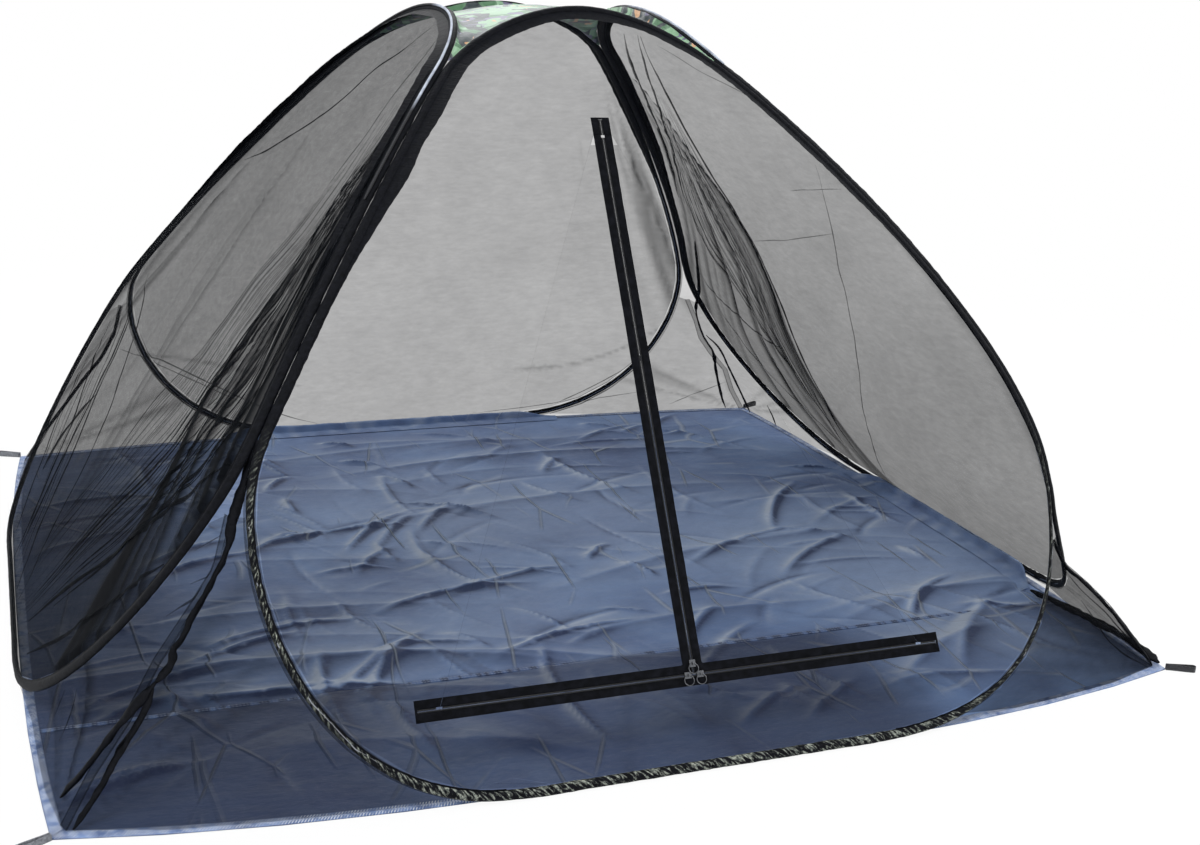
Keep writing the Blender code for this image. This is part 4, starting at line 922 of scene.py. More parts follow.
class NetTentSizes(bpy.types.PropertyGroup):
    net_step: length_setting("Net step", "Longest edge of the net's faces", 0.018, 0.005)
    floor_step: length_setting("Floor step", "Longest edge of the floor's faces", 0.012, 0.005)
    fold_depth: length_setting("Fold depth", "Height of the net's gathered folds", 0.009, 0.0)
    crease_height: length_setting("Crease height", "Height of the floor's creases", 0.007, 0.0)
    tooth_pitch: length_setting("Tooth pitch", "Distance between turns of the zip coil", 0.0021, 0.001)


class NetTentFinish(bpy.types.PropertyGroup):
    net_cover: bpy.props.FloatProperty(
        name="Net cover", description="Share of the view that one layer of net hides",
        default=0.37, min=0.0, max=1.0, subtype="FACTOR")
    floor_colour: colour_setting("Floor colour", "Main colour of the floor cloth", (126, 155, 202))
    floor_deep: colour_setting("Floor shade", "Deeper colour of the floor cloth", (92, 114, 160))
    # Paler colour for random patches of the floor and for its painted highlights.
    floor_pale_and_highlight: colour_setting("Floor light", "Paler colour where the floor is highlighted", (160, 181, 217))
    camo_pale: colour_setting("Camouflage ground", "Palest colour of the crown print", (124, 160, 126))
    camo_green: colour_setting("Camouflage green", "Middle green of the crown print", (66, 108, 72))
    camo_dark: colour_setting("Camouflage dark", "Darkest colour of the crown print", (26, 40, 42))


def sizes():
    return bpy.context.scene.net_tent_sizes


def fan(y, drop, start, low, high, lines, seed):
    """Folds that fan down from a crown corner: how gathered the net is at angles between low and high."""
    angle = np.degrees(np.arctan2(y - start, np.maximum(drop, 0.02)))
    out = np.zeros_like(angle)
    rand = random.Random(seed)
    for _ in range(lines):
        centre = low + (high - low) * rand.random()
        width = 0.35 + 1.1 * rand.random()
        strength = 0.25 + 0.75 * rand.random()
        begin = rand.random() * 0.25
        fade = smooth((drop - begin) / 0.2) * (1.0 - smooth((drop - (0.75 + 0.6 * rand.random())) / 0.35))
        bend = 2.0 * np.sin(drop * (2.0 + 3.0 * rand.random()) + 6.0 * rand.random())
        out += strength * fade * np.exp(-(((angle - centre - bend) / width) ** 2))
    return out, angle


def gathers(node, points):
    """Gathered share of the net at each point of a net piece."""
    x, y, z = points.T
    drop = (CROWN_CORNER[2] - z) * 1.23
    if node == "left_net":
        first, angle = fan(y, drop, -0.33, -40.0, -12.0, 26, 3)
        band = 0.3 * np.exp(-(((angle + 38.0) / 9.0) ** 2)) * smooth((drop - 0.05) / 0.2)
        low = 0.22 * np.exp(-(((y + 0.55) / 0.3) ** 2)) * smooth((0.5 - z) / 0.3)
        second, _ = fan(y, drop, 0.33, 14.0, 40.0, 14, 5)
        third, _ = fan(y, drop, 0.2, -16.0, 8.0, 7, 8)
        gather = 0.75 * first + band + low + 0.35 * second + 0.25 * third
    elif node == "right_net":
        first, angle = fan(y, drop, 0.33, -9.0, 36.0, 26, 7)
        edge = 0.6 * np.exp(-(((angle + 9.0) / 1.4) ** 2))
        wide = 0.2 * smooth((angle + 9.5) / 3.0) * (1.0 - smooth((angle - 30.0) / 10.0))
        wide = wide * smooth((1.1 - z) / 0.2)
        second, _ = fan(y, drop, -0.33, -38.0, -30.0, 5, 9)
        gather = 0.5 * first + edge + wide + 0.3 * second
    elif node == "back_net":
        first, _ = fan(x, drop, 0.28, 25.0, 41.0, 9, 11)
        second, _ = fan(x, drop, -0.28, -41.0, -30.0, 6, 12)
        height = z - 0.12 - 0.25 * np.abs(x) ** 2 - 0.02 * np.sin(9.0 * x)
        line = np.exp(-((height / 0.004) ** 2)) * smooth((np.abs(x) - 0.25) / 0.1)
        gather = 0.35 * first + 0.35 * second + 0.35 * line
    elif node == "front_net":
        first, _ = fan(x, drop, -0.05, -8.0, 3.0, 4, 15)
        rim = 0.35 * np.exp(-(((np.abs(x) - 0.28) / 0.03) ** 2)) * smooth((z - 0.95) / 0.08)
        gather = 0.12 * first + 0.2 * rim
    elif node.startswith("gusset"):
        sx, sy = (1.0 if "right" in node[:19] else -1.0), (1.0 if "gusset_back" in node else -1.0)
        away = np.hypot(np.abs(x) - 0.98, np.abs(y) - 0.88)
        turn = np.degrees(np.arctan2(z, np.maximum(away, 0.01)))
        gather = np.zeros_like(z)
        rand = random.Random(len(node) * 7 + int(sx * 3 + sy * 5))
        for _ in range(7):
            centre = 12.0 + 70.0 * rand.random()
            strength = 0.25 + 0.5 * rand.random()
            gather += strength * np.exp(-(((turn - centre) / (0.8 + 1.5 * rand.random())) ** 2))
        gather = gather * 0.45
    else:
        gather = np.zeros_like(z)
    return np.clip(gather, 0.0, 1.0)


WEB_STEPS = 40
WEB_HALF = 0.0005
BACK_CLOTHS = ("back_net", "gusset_back_left_back", "gusset_back_right_back")
# How many layers of net the view passes through, as the photo's tone shows
LAYERS = {"left_net": 1.87, "right_net": 1.92, "front_net": 0.95, "back_net": 1.0,
          "gusset_front_right_front": 1.6, "gusset_front_right_right": 1.7}


def fold_lines(node):
    """The folds of a piece of net: those read off the photo, and bundles that fill the bands between."""
    if node in ("left_net", "right_net"):
        lines = [(wide, dark, sight([node], px)) for wide, dark, px in FOLD_PIXELS[node]]
        a, b = (sight([node], GUIDE_PIXELS[(node, key)]) for key in "ab")
        if node == "left_net":
            lines += bundle(a, b, 36, (2.4, 8.0), (0.25, 0.9), 4)
            lines += bundle(sight([node], GUIDE_PIXELS[(node, "c")]), a, 18, (2.0, 4.4), (0.15, 0.45), 6)
            lines += bundle(lines[3][2], lines[7][2], 9, (2.0, 5.2), (0.2, 0.6), 8)
        else:
            lines += bundle(a, b, 34, (2.0, 6.5), (0.15, 0.7), 5)
        return lines
    if node.startswith("gusset_back") or node == "back_net":
        key, among, far = "back", BACK_CLOTHS, True
    elif node.startswith("gusset_front"):
        key = "front_left" if node.startswith("gusset_front_left") else "front_right"
        among, far = [name for name in NODES if name.startswith("gusset_" + key)], False
    else:
        return []
    return nearest_lines(node, [(wide, dark, sight(among, px, far)) for wide, dark, px in FOLD_PIXELS[key]])


def nearest_lines(node, lines):
    """The lines whose middle lies on this node rather than on its neighbours."""
    low, high = (np.array(corner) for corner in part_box(node))
    out = []
    for line in lines:
        middle = line[2].mean(0)
        if np.all(middle > low - 0.03) and np.all(middle < high + 0.03):
            out.append(line)
    return out


def fold_web(sign):
    """Hair-thin web of net along the line about which a door flap folds."""
    web = []
    for height in np.linspace(DOOR_SILL, DOOR_TOP, WEB_STEPS):
        share = (height - DOOR_SILL) / (DOOR_TOP - DOOR_SILL)
        p = door_point(sign * (DOOR_HALF + (TAPE_OUT + 0.0003 - DOOR_HALF) * share), height)
        web += [p + (across, 0.0, 0.0) for across in (-WEB_HALF, WEB_HALF)]
    return web


def net_piece(node, body=ROOT):
    """One piece of net from its solid, with its gathers, its folds and how much of the view it hides."""
    points, normals, faces, rim = cloth_surface(node, sizes().net_step)
    gather = gathers(node, points)
    free = np.where(rim, 0.0, 1.0)
    ripple = np.array([rough(p[0] * 7.0, p[1] * 7.0, p[2] * 7.0) for p in points])
    lift = sizes().fold_depth * (gather * 0.8 + 0.35 * ripple) * free
    flap = "flap" in node
    points = points + normals * (lift * (0.25 if flap or node == "front_net" else 1.0))[:, None]
    lines = fold_lines(node)
    if lines:
        tree = BVHTree.FromPolygons([Vector(p) for p in points], faces)
        more, more_faces, darks = fold_shape(tree, lines, 0.0012)
        faces = faces + [[i + len(points) for i in face] for face in more_faces]
        points = np.vstack([points, more])
        gather = np.concatenate([gather, darks])
    if node == "front_net":
        for sign in (-1.0, 1.0):
            web = fold_web(sign)
            faces = faces + band_faces(len(web) // 2, 2, len(points))
            points = np.vstack([points, web])
            gather = np.concatenate([gather, np.zeros(len(web))])
    layer = np.full(len(points), LAYERS.get(node, 1.0))
    if node == "right_net":
        layer -= 0.7 * np.array(points)[:, 2]
    made = new_piece(node + "_mesh", points, faces, stuff("net"), {"gather": gather, "layer": layer})
    seat(made, body, "net", node)


class NETTENT_OT_nets(bpy.types.Operator):
    """Make the four net walls, the two door flaps and the eight corner gussets"""

    bl_idname = "nettent.nets"
    bl_label = "Net walls and flaps"

    def execute(self, context):
        for node in NODES:
            if node in ("front_net", "back_net", "left_net", "right_net") or node.startswith("gusset"):
                net_piece(node)
        net_piece("left_flap_net", "left_flap")
        net_piece("right_flap_net", "right_flap")
        return {"FINISHED"}


def ruffle(side, k, turn, length):
    """How full the gathered sleeve is at a point of its line and an angle round it."""
    wave = 0.5 + 0.5 * rough(length[k] * 95.0, math.cos(turn) * 1.2, math.sin(turn) * 1.2)
    wide = rough(length[k] * 22.0, 4.0, side_seed(side))
    return 1.0 - 0.16 * wave - 0.06 * wide


def side_seed(side):
    """A number of its own for each hoop, so that no two have the same folds."""
    return float("frbl".index(side[0])) * 7.3


class NETTENT_OT_sleeves(bpy.types.Operator):
    """Make the ruched cloth sleeves of the four spring hoops, and the frills where the net is sewn on"""

    bl_idname = "nettent.sleeves"
    bl_label = "Hoop sleeves"

    def execute(self, context):
        around = 14
        turns = 2.0 * math.pi * np.arange(around) / around
        for side in SIDES:
            points, _, normals, outward, length = loop_frames(side)
            low_run = np.minimum(length, length[-1] - length)
            low = 1.0 - smooth((low_run - 0.95) / 0.2)
            inner = 0.3 + 0.7 * smooth(0.5 - 0.9 * np.cos(turns))
            if side == "front":
                ground = 1.0 - smooth((low_run - 0.42) / 0.2)
                wrap = low[:, None] * (ground[:, None] + (1.0 - ground[:, None]) * inner[None, :])
                left_half = (length > length[-1] / 2).astype(float)[:, None]
                wrap = wrap * (0.45 + 0.55 * np.maximum(left_half, ground[:, None]))
            else:
                ground = np.zeros_like(low)
                wrap = np.zeros((len(low), around))
            slim = 0.6 + 0.5 * smooth((low_run - 1.3) / 0.3) if side == "back" else np.ones(len(low))
            if side == "front":
                slim -= 0.42 * low * (1.0 - ground)
            elif side == "right":
                slim -= 0.2 * low

            def half_in(k, turn):
                return slim[k] * SLEEVE_WIDTH / 2 * ruffle(side, k, turn, length)

            def half_out(k, turn):
                rise = 1.0 + 0.45 * ground[k]
                return slim[k] * SLEEVE_THICK / 2 * ruffle(side, k, turn + 1.0, length) * rise

            made = tube("sleeve_cloth_" + side, points, outward, normals, half_in, half_out,
                        stuff("sleeve"), around, {"length": length, "wrap": wrap})
            seat(made, ROOT, "sleeve_fabric", "sleeve_" + side)
            self.frill(side, slim)
            self.net_edge(side)
        return {"FINISHED"}

    def net_edge(self, side):
        """Edge of the net inside the sleeve's seam, seen where the sleeve is drawn in."""
        points, _, _, outward, length = loop_frames(side)
        low_run = np.minimum(length, length[-1] - length)
        keep = np.where(low_run > CONTACT_HALF + 0.02)[0]
        spots = []
        for k in keep:
            for share in (-1.05, 0.0, 1.05):
                spots.append(points[k] + outward[k] * (SLEEVE_WIDTH / 2 * share))
        faces = band_faces(len(keep), 3)
        layers = {"gather": np.full(len(spots), 0.25), "layer": np.full(len(spots), 1.0)}
        made = new_piece("net_edge_" + side, spots, faces, stuff("net"), layers)
        seat(made, ROOT, "net")

    def frill(self, side, slim):
        """Gathered edge of black cloth along the inside of the sleeve, widest over the top of the hoop."""
        points, _, normals, outward, length = loop_frames(side)
        low_run = np.minimum(length, length[-1] - length)
        keep = np.where(low_run > CONTACT_HALF + 0.03)[0]
        top = smooth((low_run - 1.35) / 0.35)
        spots = []
        for k in keep:
            full = {"front": 0.026, "left": 0.02, "right": 0.014, "back": 0.008}[side]
            wide = 0.0022 + full * top[k] * (0.85 + 0.22 * rough(length[k] * 11.0, side_seed(side)))
            wide += 0.0012 * rough(length[k] * 70.0, side_seed(side) + 3.0)
            for c, share in enumerate((0.0, 0.35, 0.7, 1.0)):
                reach = slim[k] * SLEEVE_WIDTH / 2 - 0.0025 + (wide + 0.0025) * share
                wave = 0.0011 * share * rough(length[k] * 85.0, c * 0.7, side_seed(side))
                spots.append(points[k] - outward[k] * reach + normals[k] * (0.001 + wave))
        faces = band_faces(len(keep), 4)
        lengths = np.repeat(length[keep], 4)
        made = new_piece("sleeve_frill_" + side, spots, faces, stuff("sleeve"),
                         {"length": lengths, "turn": lengths * 0.0, "wrap": lengths * 0.0})
        seat(made, ROOT, "sleeve_fabric")


PIPING_HALF = 0.0024


class NETTENT_OT_piping(bpy.types.Operator):
    """Make the pale corded piping on the left and right arcs of the crown"""

    bl_idname = "nettent.piping"
    bl_label = "Crown piping"

    def execute(self, context):
        for side in ("left", "right"):
            points, _, normals, outward, length = loop_frames(side, 0.004)
            low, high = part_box("piping_" + side)
            top = points + normals * (SLEEVE_THICK / 2 + 0.0015)
            within = np.all((top >= np.array(low) - 0.001) & (top <= np.array(high) + 0.001), axis=1)
            inside = np.flatnonzero(within)
            first, last = inside[0], inside[-1] + 1

            def half(k, turn):
                return PIPING_HALF * (0.6 + 0.4 * min(1.0, min(k, last - first - 1 - k) / 6.0))

            part = slice(first, last)
            made = tube("piping_cord_" + side, top[part], outward[part], normals[part], half, half,
                        stuff("piping"), 8, {"length": length[part]})
            seat(made, ROOT, "piping_fabric", "piping_" + side)
        return {"FINISHED"}


# Seeded short creases: how many, and the ranges of length, width and strength
CREASE_COUNT = 260
SHORT_CREASES = ((0.04, 0.16), (0.006, 0.011), (-0.8, 1.5))
# Long soft folds of the floor: middle, angle, length, width and strength
LONG_FOLDS = [
    ((-0.62, -0.42), -0.12, 0.5, 0.034, 1.7), ((-0.5, -0.56), -0.2, 0.42, 0.026, 1.3),
    ((-0.2, -0.5), -0.25, 0.5, 0.03, 1.1), ((-0.7, -0.2), 0.02, 0.45, 0.03, 1.2),
    ((0.15, 0.3), 0.1, 0.5, 0.028, 0.9), ((0.45, -0.1), 0.15, 0.4, 0.03, 0.9),
    ((0.3, 0.62), -0.05, 0.5, 0.026, 1.3), ((0.75, -0.62), 0.8, 0.2, 0.035, 1.5),
    ((0.62, -0.7), 0.5, 0.16, 0.03, 1.2), ((-0.35, -0.8), -0.35, 0.3, 0.04, 1.4),
    ((0.2, -0.78), -0.9, 0.12, 0.03, 1.2), ((0.0, -0.8), -1.1, 0.12, 0.03, 1.1),
]
# Seeded folds: how many, and the ranges of x, y, angle, length, width and strength
SOFT_FOLDS = (
    (16, ((-0.8, 0.9), (-0.5, 0.8), (-0.3, 0.2), (0.2, 0.45), (0.02, 0.04), (0.3, 0.9))),
    (14, ((-0.6, 0.7), (-0.92, -0.62), (-1.3, -0.6), (0.06, 0.14), (0.02, 0.035), (0.4, 1.1))),
)


class Creases:
    """Folds of the floor cloth: seeded short creases, and long soft folds along its front and left."""

    def __init__(self):
        rand = random.Random(21)
        self.items = []
        for _ in range(CREASE_COUNT):
            spot = (rand.uniform(-0.95, 0.95), rand.uniform(-0.85, 0.85))
            angle = rand.choice((0.65, -0.75, 1.9, 0.1)) + rand.uniform(-0.35, 0.35)
            rest = [rand.uniform(low, high) for low, high in SHORT_CREASES]
            self.items.append((spot, angle, *rest))
        self.items += LONG_FOLDS
        for count, limits in SOFT_FOLDS:
            for _ in range(count):
                x, y, *rest = [rand.uniform(low, high) for low, high in limits]
                self.items.append(((x, y), *rest))

    def height(self, x, y):
        total = np.zeros_like(x)
        for (cx, cy), angle, long, wide, strength in self.items:
            a = (x - cx) * math.cos(angle) + (y - cy) * math.sin(angle)
            b = -(x - cx) * math.sin(angle) + (y - cy) * math.cos(angle)
            b = b + 0.12 * a * a / max(long, 0.05)
            total += strength * np.exp(-np.abs(b) / wide) * np.exp(-((a / long) ** 4))
        return total

    def slope(self, x, y):
        """How steeply the cloth turns to the light that comes from the back left, painted into the floor's
        colour as highlight and shade.
        """
        step = 0.006
        rise = self.height(x - step, y + step) - self.height(x + step, y - step)
        return np.clip(-rise * 1.1, -1.0, 1.0)


# Painted highlights on the floor cloth: middle, reach and strength
PAINTED_HIGHLIGHTS = (
    (0.0, 0.2, 0.28, 0.7), (0.8, -0.3, 0.24, 0.9), (-0.45, -0.4, 0.25, 0.55), (0.62, -0.2, 0.25, 0.8),
    (0.4, 0.25, 0.22, 0.5), (-0.3, 0.35, 0.3, 0.5), (0.35, -0.1, 0.22, 0.5), (0.62, -0.62, 0.14, 0.7),
    (0.8, -0.7, 0.14, 0.7), (-0.1, -0.35, 0.22, 0.5), (0.15, -0.72, 0.08, 0.4), (0.75, 0.05, 0.2, 0.6),
)


def glow(x, y):
    """Where the cloth catches more light, painted into its colour as a highlight."""
    total = np.zeros_like(x)
    for cx, cy, reach, strength in PAINTED_HIGHLIGHTS:
        total += strength * np.exp(-(((x - cx) ** 2 + (y - cy) ** 2) / reach**2))
    return np.clip(total, 0.0, 1.0)


def painted_shade(x, y):
    """Where the cloth lies in shade, painted into its colour: the strip before the front seam, and the left
    side under the net.
    """
    front = 1.0 - smooth((y - FLOOR_JOIN_Y + 0.015) / 0.03)
    left = 1.0 - smooth((x + 0.86) / 0.26)
    lit = 0.55 * smooth((x - 0.4) / 0.15) * (1.0 - smooth((x - 0.86) / 0.15))
    front *= 0.9 + 0.18 * np.sin(7.0 * x) - lit
    return np.clip(front + 0.9 * left, 0.0, 1.0)


def edge_room(x, y):
    """How far a floor point is from the bound edge, as a share of 60 mm."""
    room = np.minimum(1.0 - np.abs(x), 0.9 - np.abs(y))
    return smooth(np.clip(room / 0.06, 0.0, 1.0))


# Places round a hoop's sleeve over which the floor cloth runs: inward and upward shares of its half sizes
OVER_HOOP = ((1.0, -0.3), (0.95, 0.6), (0.5, 0.98), (-0.3, 1.05), (-0.8, 0.8))
# Height of the flat floor cloth's face, and the most that a crease rises over it
FLOOR_LEVEL = 0.0008
CREASE_TOP = 0.02


class NETTENT_OT_floor(bpy.types.Operator):
    """Make the creased floor cloth in its two widths, flatter where they meet at the seam, and its edges
    over the right and back hoops
    """

    bl_idname = "nettent.floor"
    bl_label = "Floor cloth"

    def execute(self, context):
        creases = Creases()
        for part in ("main", "front"):
            node = "floor_" + part + "_panel"
            points, _, faces, _ = cloth_surface(node, sizes().floor_step, 9)
            x, y = points[:, 0], points[:, 1]
            rise = np.clip(creases.height(x, y), -0.2, 3.0)
            near_seam = smooth(np.abs(y - FLOOR_JOIN_Y) / 0.05)
            lift = sizes().crease_height * rise * edge_room(x, y) * (0.25 + 0.75 * near_seam)
            points[:, 2] = FLOOR_LEVEL + np.clip(lift, 0.0, CREASE_TOP)
            layers = {"slope": creases.slope(x, y) * edge_room(x, y), "glow": glow(x, y), "painted_shade": painted_shade(x, y)}
            made = new_piece("floor_cloth_" + part, points, faces, stuff("floor"), layers)
            thicken(made, CLOTH_THICK, -1.0)
            seat(made, ROOT, "floor_cloth", node)
        self.edge_cloth("right", 1, -0.51, 0.3)
        self.edge_cloth("back", 0, -0.5, 0.42)
        return {"FINISHED"}

    def edge_cloth(self, side, axis, low, high):
        """Edge of the floor cloth where it runs up and over the hoop, between two places on the axis."""
        points, _, normals, outward, length = loop_frames(side)
        level = SIDES[side][0]
        half_in, half_out = SLEEVE_WIDTH / 2 + 0.0015, SLEEVE_THICK / 2 + 0.0015
        along = points[:, axis]
        keep = np.flatnonzero((along >= low) & (along <= high) & (points[:, 2] < 0.1))
        keep = keep[np.argsort(along[keep])]
        spots = []
        for k in keep:
            p, out_way, up_way = points[k], normals[k], -outward[k]
            room = min(along[k] - low, high - along[k])
            share = smooth(room / 0.12)
            wave = 0.0012 * rough(length[k] * 24.0, 6.0) + 0.0008 * rough(length[k] * 90.0, 2.0)
            foot = p - level * 0.046
            foot[2] = 0.0026
            bend = p - level * 0.022
            bend[2] = 0.0052 + 0.3 * max(0.0, p[2] - SLEEVE_WIDTH / 2) + wave
            row = [foot, bend]
            for inward, rise in OVER_HOOP:
                spot = p - out_way * (half_out * inward) + up_way * (half_in * rise + wave)
                row.append(bend + (spot - bend) * share)
            spots += row
        faces = band_faces(len(keep), len(row))
        spots = np.array(spots)
        x, y = spots[:, 0], spots[:, 1]
        # Random painted highlight and shade along the edge cloth.
        layers = {"slope": 0.5 * np.array([rough(a * 30.0, b * 30.0) for a, b in zip(x, y)]),
                  "glow": glow(x, y), "painted_shade": painted_shade(x, y)}
        made = new_piece("floor_edge_cloth_" + side, spots, faces, stuff("floor"), layers)
        seat(made, ROOT, "floor_cloth")


def floor_point(a, b, inset=0.0):
    """Point on the floor's bowed edge for a place on a square from -1 to 1, or that far inside the edge."""
    clear = SLEEVE_THICK / 2 + 0.0003
    side_bulge = 0.03 if a > 0 else 0.035
    end_bulge = 0.05 if b > 0 else 0.09
    x = a * (1.0 - inset + (side_bulge - clear) * (1.0 - abs(b) ** 3))
    y = b * (0.9 - inset + (end_bulge - clear) * (1.0 - abs(a) ** 3))
    return x, y


def strip(name, left, right, level, thick, finish, layers):
    """Closed flat band between two lines on the floor, slightly crowned, with its layers."""
    count = len(left)
    cols = 7
    top, under = [], []
    for k in range(count):
        for c in range(cols):
            share = c / (cols - 1)
            p = np.array(left[k]) * (1 - share) + np.array(right[k]) * share
            bow = math.sin(math.pi * share)
            crown = thick * (0.75 + 0.25 * bow + 0.35 * layers["pucker"][k] * bow)
            top.append((p[0], p[1], level + crown))
            under.append((p[0], p[1], level))
    size = count * cols
    faces = []
    closed = layers.get("closed", False)
    for k in range(count if closed else count - 1):
        n = (k + 1) % count
        for c in range(cols - 1):
            a, b, d, e = k * cols + c, k * cols + c + 1, n * cols + c + 1, n * cols + c
            faces.append((a, b, d, e))
            faces.append((a + size, e + size, d + size, b + size))
        for c, turn in ((0, 1), (cols - 1, -1)):
            a, b = k * cols + c, n * cols + c
            faces.append((a, b, b + size, a + size)[::turn])
    if not closed:
        for k in (0, count - 1):
            edge = list(range(k * cols, (k + 1) * cols))
            faces.append(edge + [i + size for i in reversed(edge)])
    length = np.repeat(layers["length"], cols)
    across = np.tile(np.arange(cols) / (cols - 1), count)
    # Share of painted shade at each row of the band, for the floor finish.
    dark = np.repeat(layers.get("painted_shade", np.zeros(count)), cols)
    spread = {"length": np.tile(length, 2), "across": np.tile(across, 2), "painted_shade": np.tile(dark, 2)}
    return turn_out(new_piece(name, top + under, faces, finish, spread))


HEM_STEPS = 340
HEM_WIDTH = 0.018
BAND_LEVEL = 0.0011
STITCH_PITCH = 0.0062
STITCH_ROW = 0.0032
STITCH_LEVEL = 0.0026
THREAD_RADIUS = 0.00045
THREAD_LENGTH = 0.0042


class NETTENT_OT_hem(bpy.types.Operator):
    """Make the overlocked hem round the floor and the stitched seam across it"""

    bl_idname = "nettent.hem"
    bl_label = "Floor hem and seam"

    def execute(self, context):
        corners = ((-1, -1), (1, -1), (1, 1), (-1, 1), (-1, -1))
        outer, inner = [], []
        for first, last in zip(corners[:-1], corners[1:]):
            for k in range(HEM_STEPS):
                t = k / HEM_STEPS
                a, b = (first[i] * (1 - t) + last[i] * t for i in range(2))
                outer.append(floor_point(a, b))
                inner.append(floor_point(a, b, HEM_WIDTH))
        outer, inner = np.array(outer), np.array(inner)
        gaps = np.linalg.norm(np.diff(outer, axis=0, append=outer[:1]), axis=1)
        length = np.concatenate([[0.0], np.cumsum(gaps)[:-1]])
        pucker = np.array([rough(s * 40.0) + 0.6 * rough(s * 110.0, 3.0) for s in length])
        ragged = np.array([0.0009 * rough(s * 160.0, 8.0) - 0.0006 for s in length])
        way = outer - inner
        outer = outer + way / 0.02 * ragged[:, None]
        made = strip("floor_hem_binding", outer, inner, BAND_LEVEL, 0.0014, stuff("hem"),
                     {"length": length, "pucker": pucker, "closed": True})
        seat(made, ROOT, "hem_binding", "floor_hem")
        low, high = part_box("floor_seam")
        xs = np.linspace(low[0], high[0], 420)
        pucker = np.array([rough(x * 60.0, 5.0) for x in xs])
        half = (high[1] - low[1]) / 2
        middle = (high[1] + low[1]) / 2
        left = [(x, middle - half) for x in xs]
        right = [(x, middle + half) for x in xs]
        # The seam band has painted shade, deep where its puckers rise and paler where they sink.
        made = strip("floor_seam_band", left, right, BAND_LEVEL, 0.0011, stuff("floor"),
                     {"length": xs - low[0], "pucker": pucker, "painted_shade": 0.55 + 0.45 * np.sign(pucker)})
        seat(made, ROOT, "hem_binding", "floor_seam")
        self.stitches(middle, low, high)
        return {"FINISHED"}

    def stitches(self, middle, low, high):
        """Two rows of stitches along the seam, copied from one modelled stitch."""
        bpy.ops.object.select_all(action="DESELECT")
        bpy.ops.mesh.primitive_cylinder_add(vertices=6, radius=THREAD_RADIUS, depth=THREAD_LENGTH,
                                            location=(0, 0, 0), rotation=(0, math.pi / 2, 0))
        pattern = bpy.context.object
        bpy.ops.object.transform_apply(location=True, rotation=True, scale=True)
        modifier = pattern.modifiers.new("round", "BEVEL")
        modifier.width = 0.0002
        bpy.ops.object.modifier_apply(modifier="round")
        shape = np.array([v.co[:] for v in pattern.data.vertices])
        shape[:, 2] -= np.abs(shape[:, 0]) * 0.12
        faces = [list(p.vertices) for p in pattern.data.polygons]
        bpy.data.objects.remove(pattern)
        points, all_faces = [], []
        count = int((high[0] - low[0] - 0.02) / STITCH_PITCH)
        for row in (-STITCH_ROW, STITCH_ROW):
            for k in range(count):
                spot = np.array([low[0] + 0.01 + STITCH_PITCH * k, middle + row, STITCH_LEVEL])
                base = len(points)
                points.extend(shape + spot)
                all_faces.extend([[i + base for i in f] for f in faces])
        made = new_piece("floor_seam_stitches", points, all_faces, stuff("thread"))
        seat(made, ROOT, "hem_binding")


class NETTENT_OT_crown(bpy.types.Operator):
    """Make the printed crown cloth stretched between the four top arcs"""

    bl_idname = "nettent.crown"
    bl_label = "Crown cloth"

    def execute(self, context):
        points, normals, faces, rim = cloth_surface("crown_cloth", 0.012)
        free = np.where(rim, 0.0, 1.0)
        pull = np.array([rough(p[0] * 16.0, p[1] * 16.0, 2.0) for p in points])
        corner = np.exp(-((np.hypot(np.abs(points[:, 0]) - 0.26, np.abs(points[:, 1]) - 0.31) / 0.12) ** 2))
        turn = np.arctan2(np.abs(points[:, 1]) - 0.31, np.abs(points[:, 0]) - 0.26)
        ridges = corner * np.sin(turn * 14.0)
        points = points + normals * ((0.0025 * pull + 0.003 * ridges) * free)[:, None]
        room = np.clip((1.0 - (points[:, 0] / 0.3) ** 2) * (1.0 - (points[:, 1] / 0.34) ** 2), 0.0, 1.0)
        points[:, 2] -= 0.014 * smooth(room) * free
        made = new_piece("crown_camouflage_cloth", points, faces, stuff("crown"))
        thicken(made, CROWN_THICK, 0.0)
        seat(made, ROOT, "crown_cloth", "crown_cloth")
        return {"FINISHED"}


def centre_line(node, steps):
    """Middle points of a bar node, taken in slices along its longest reach."""
    points = np.array([v.co[:] for v in NODES[node].data.vertices])
    way = unit(points[points[:, 2].argmin()] - points[points[:, 2].argmax()])
    along = points @ way
    edges = np.linspace(along.min(), along.max(), steps)
    out = []
    for a, b in zip(edges[:-1], edges[1:]):
        pick = points[(along >= a - 1e-4) & (along <= b + 1e-4)]
        if len(pick):
            out.append(pick.mean(0))
    ends = [points[along <= along.min() + 0.004].mean(0), points[along >= along.max() - 0.004].mean(0)]
    return np.array([ends[0], *out[1:-1], ends[1]])


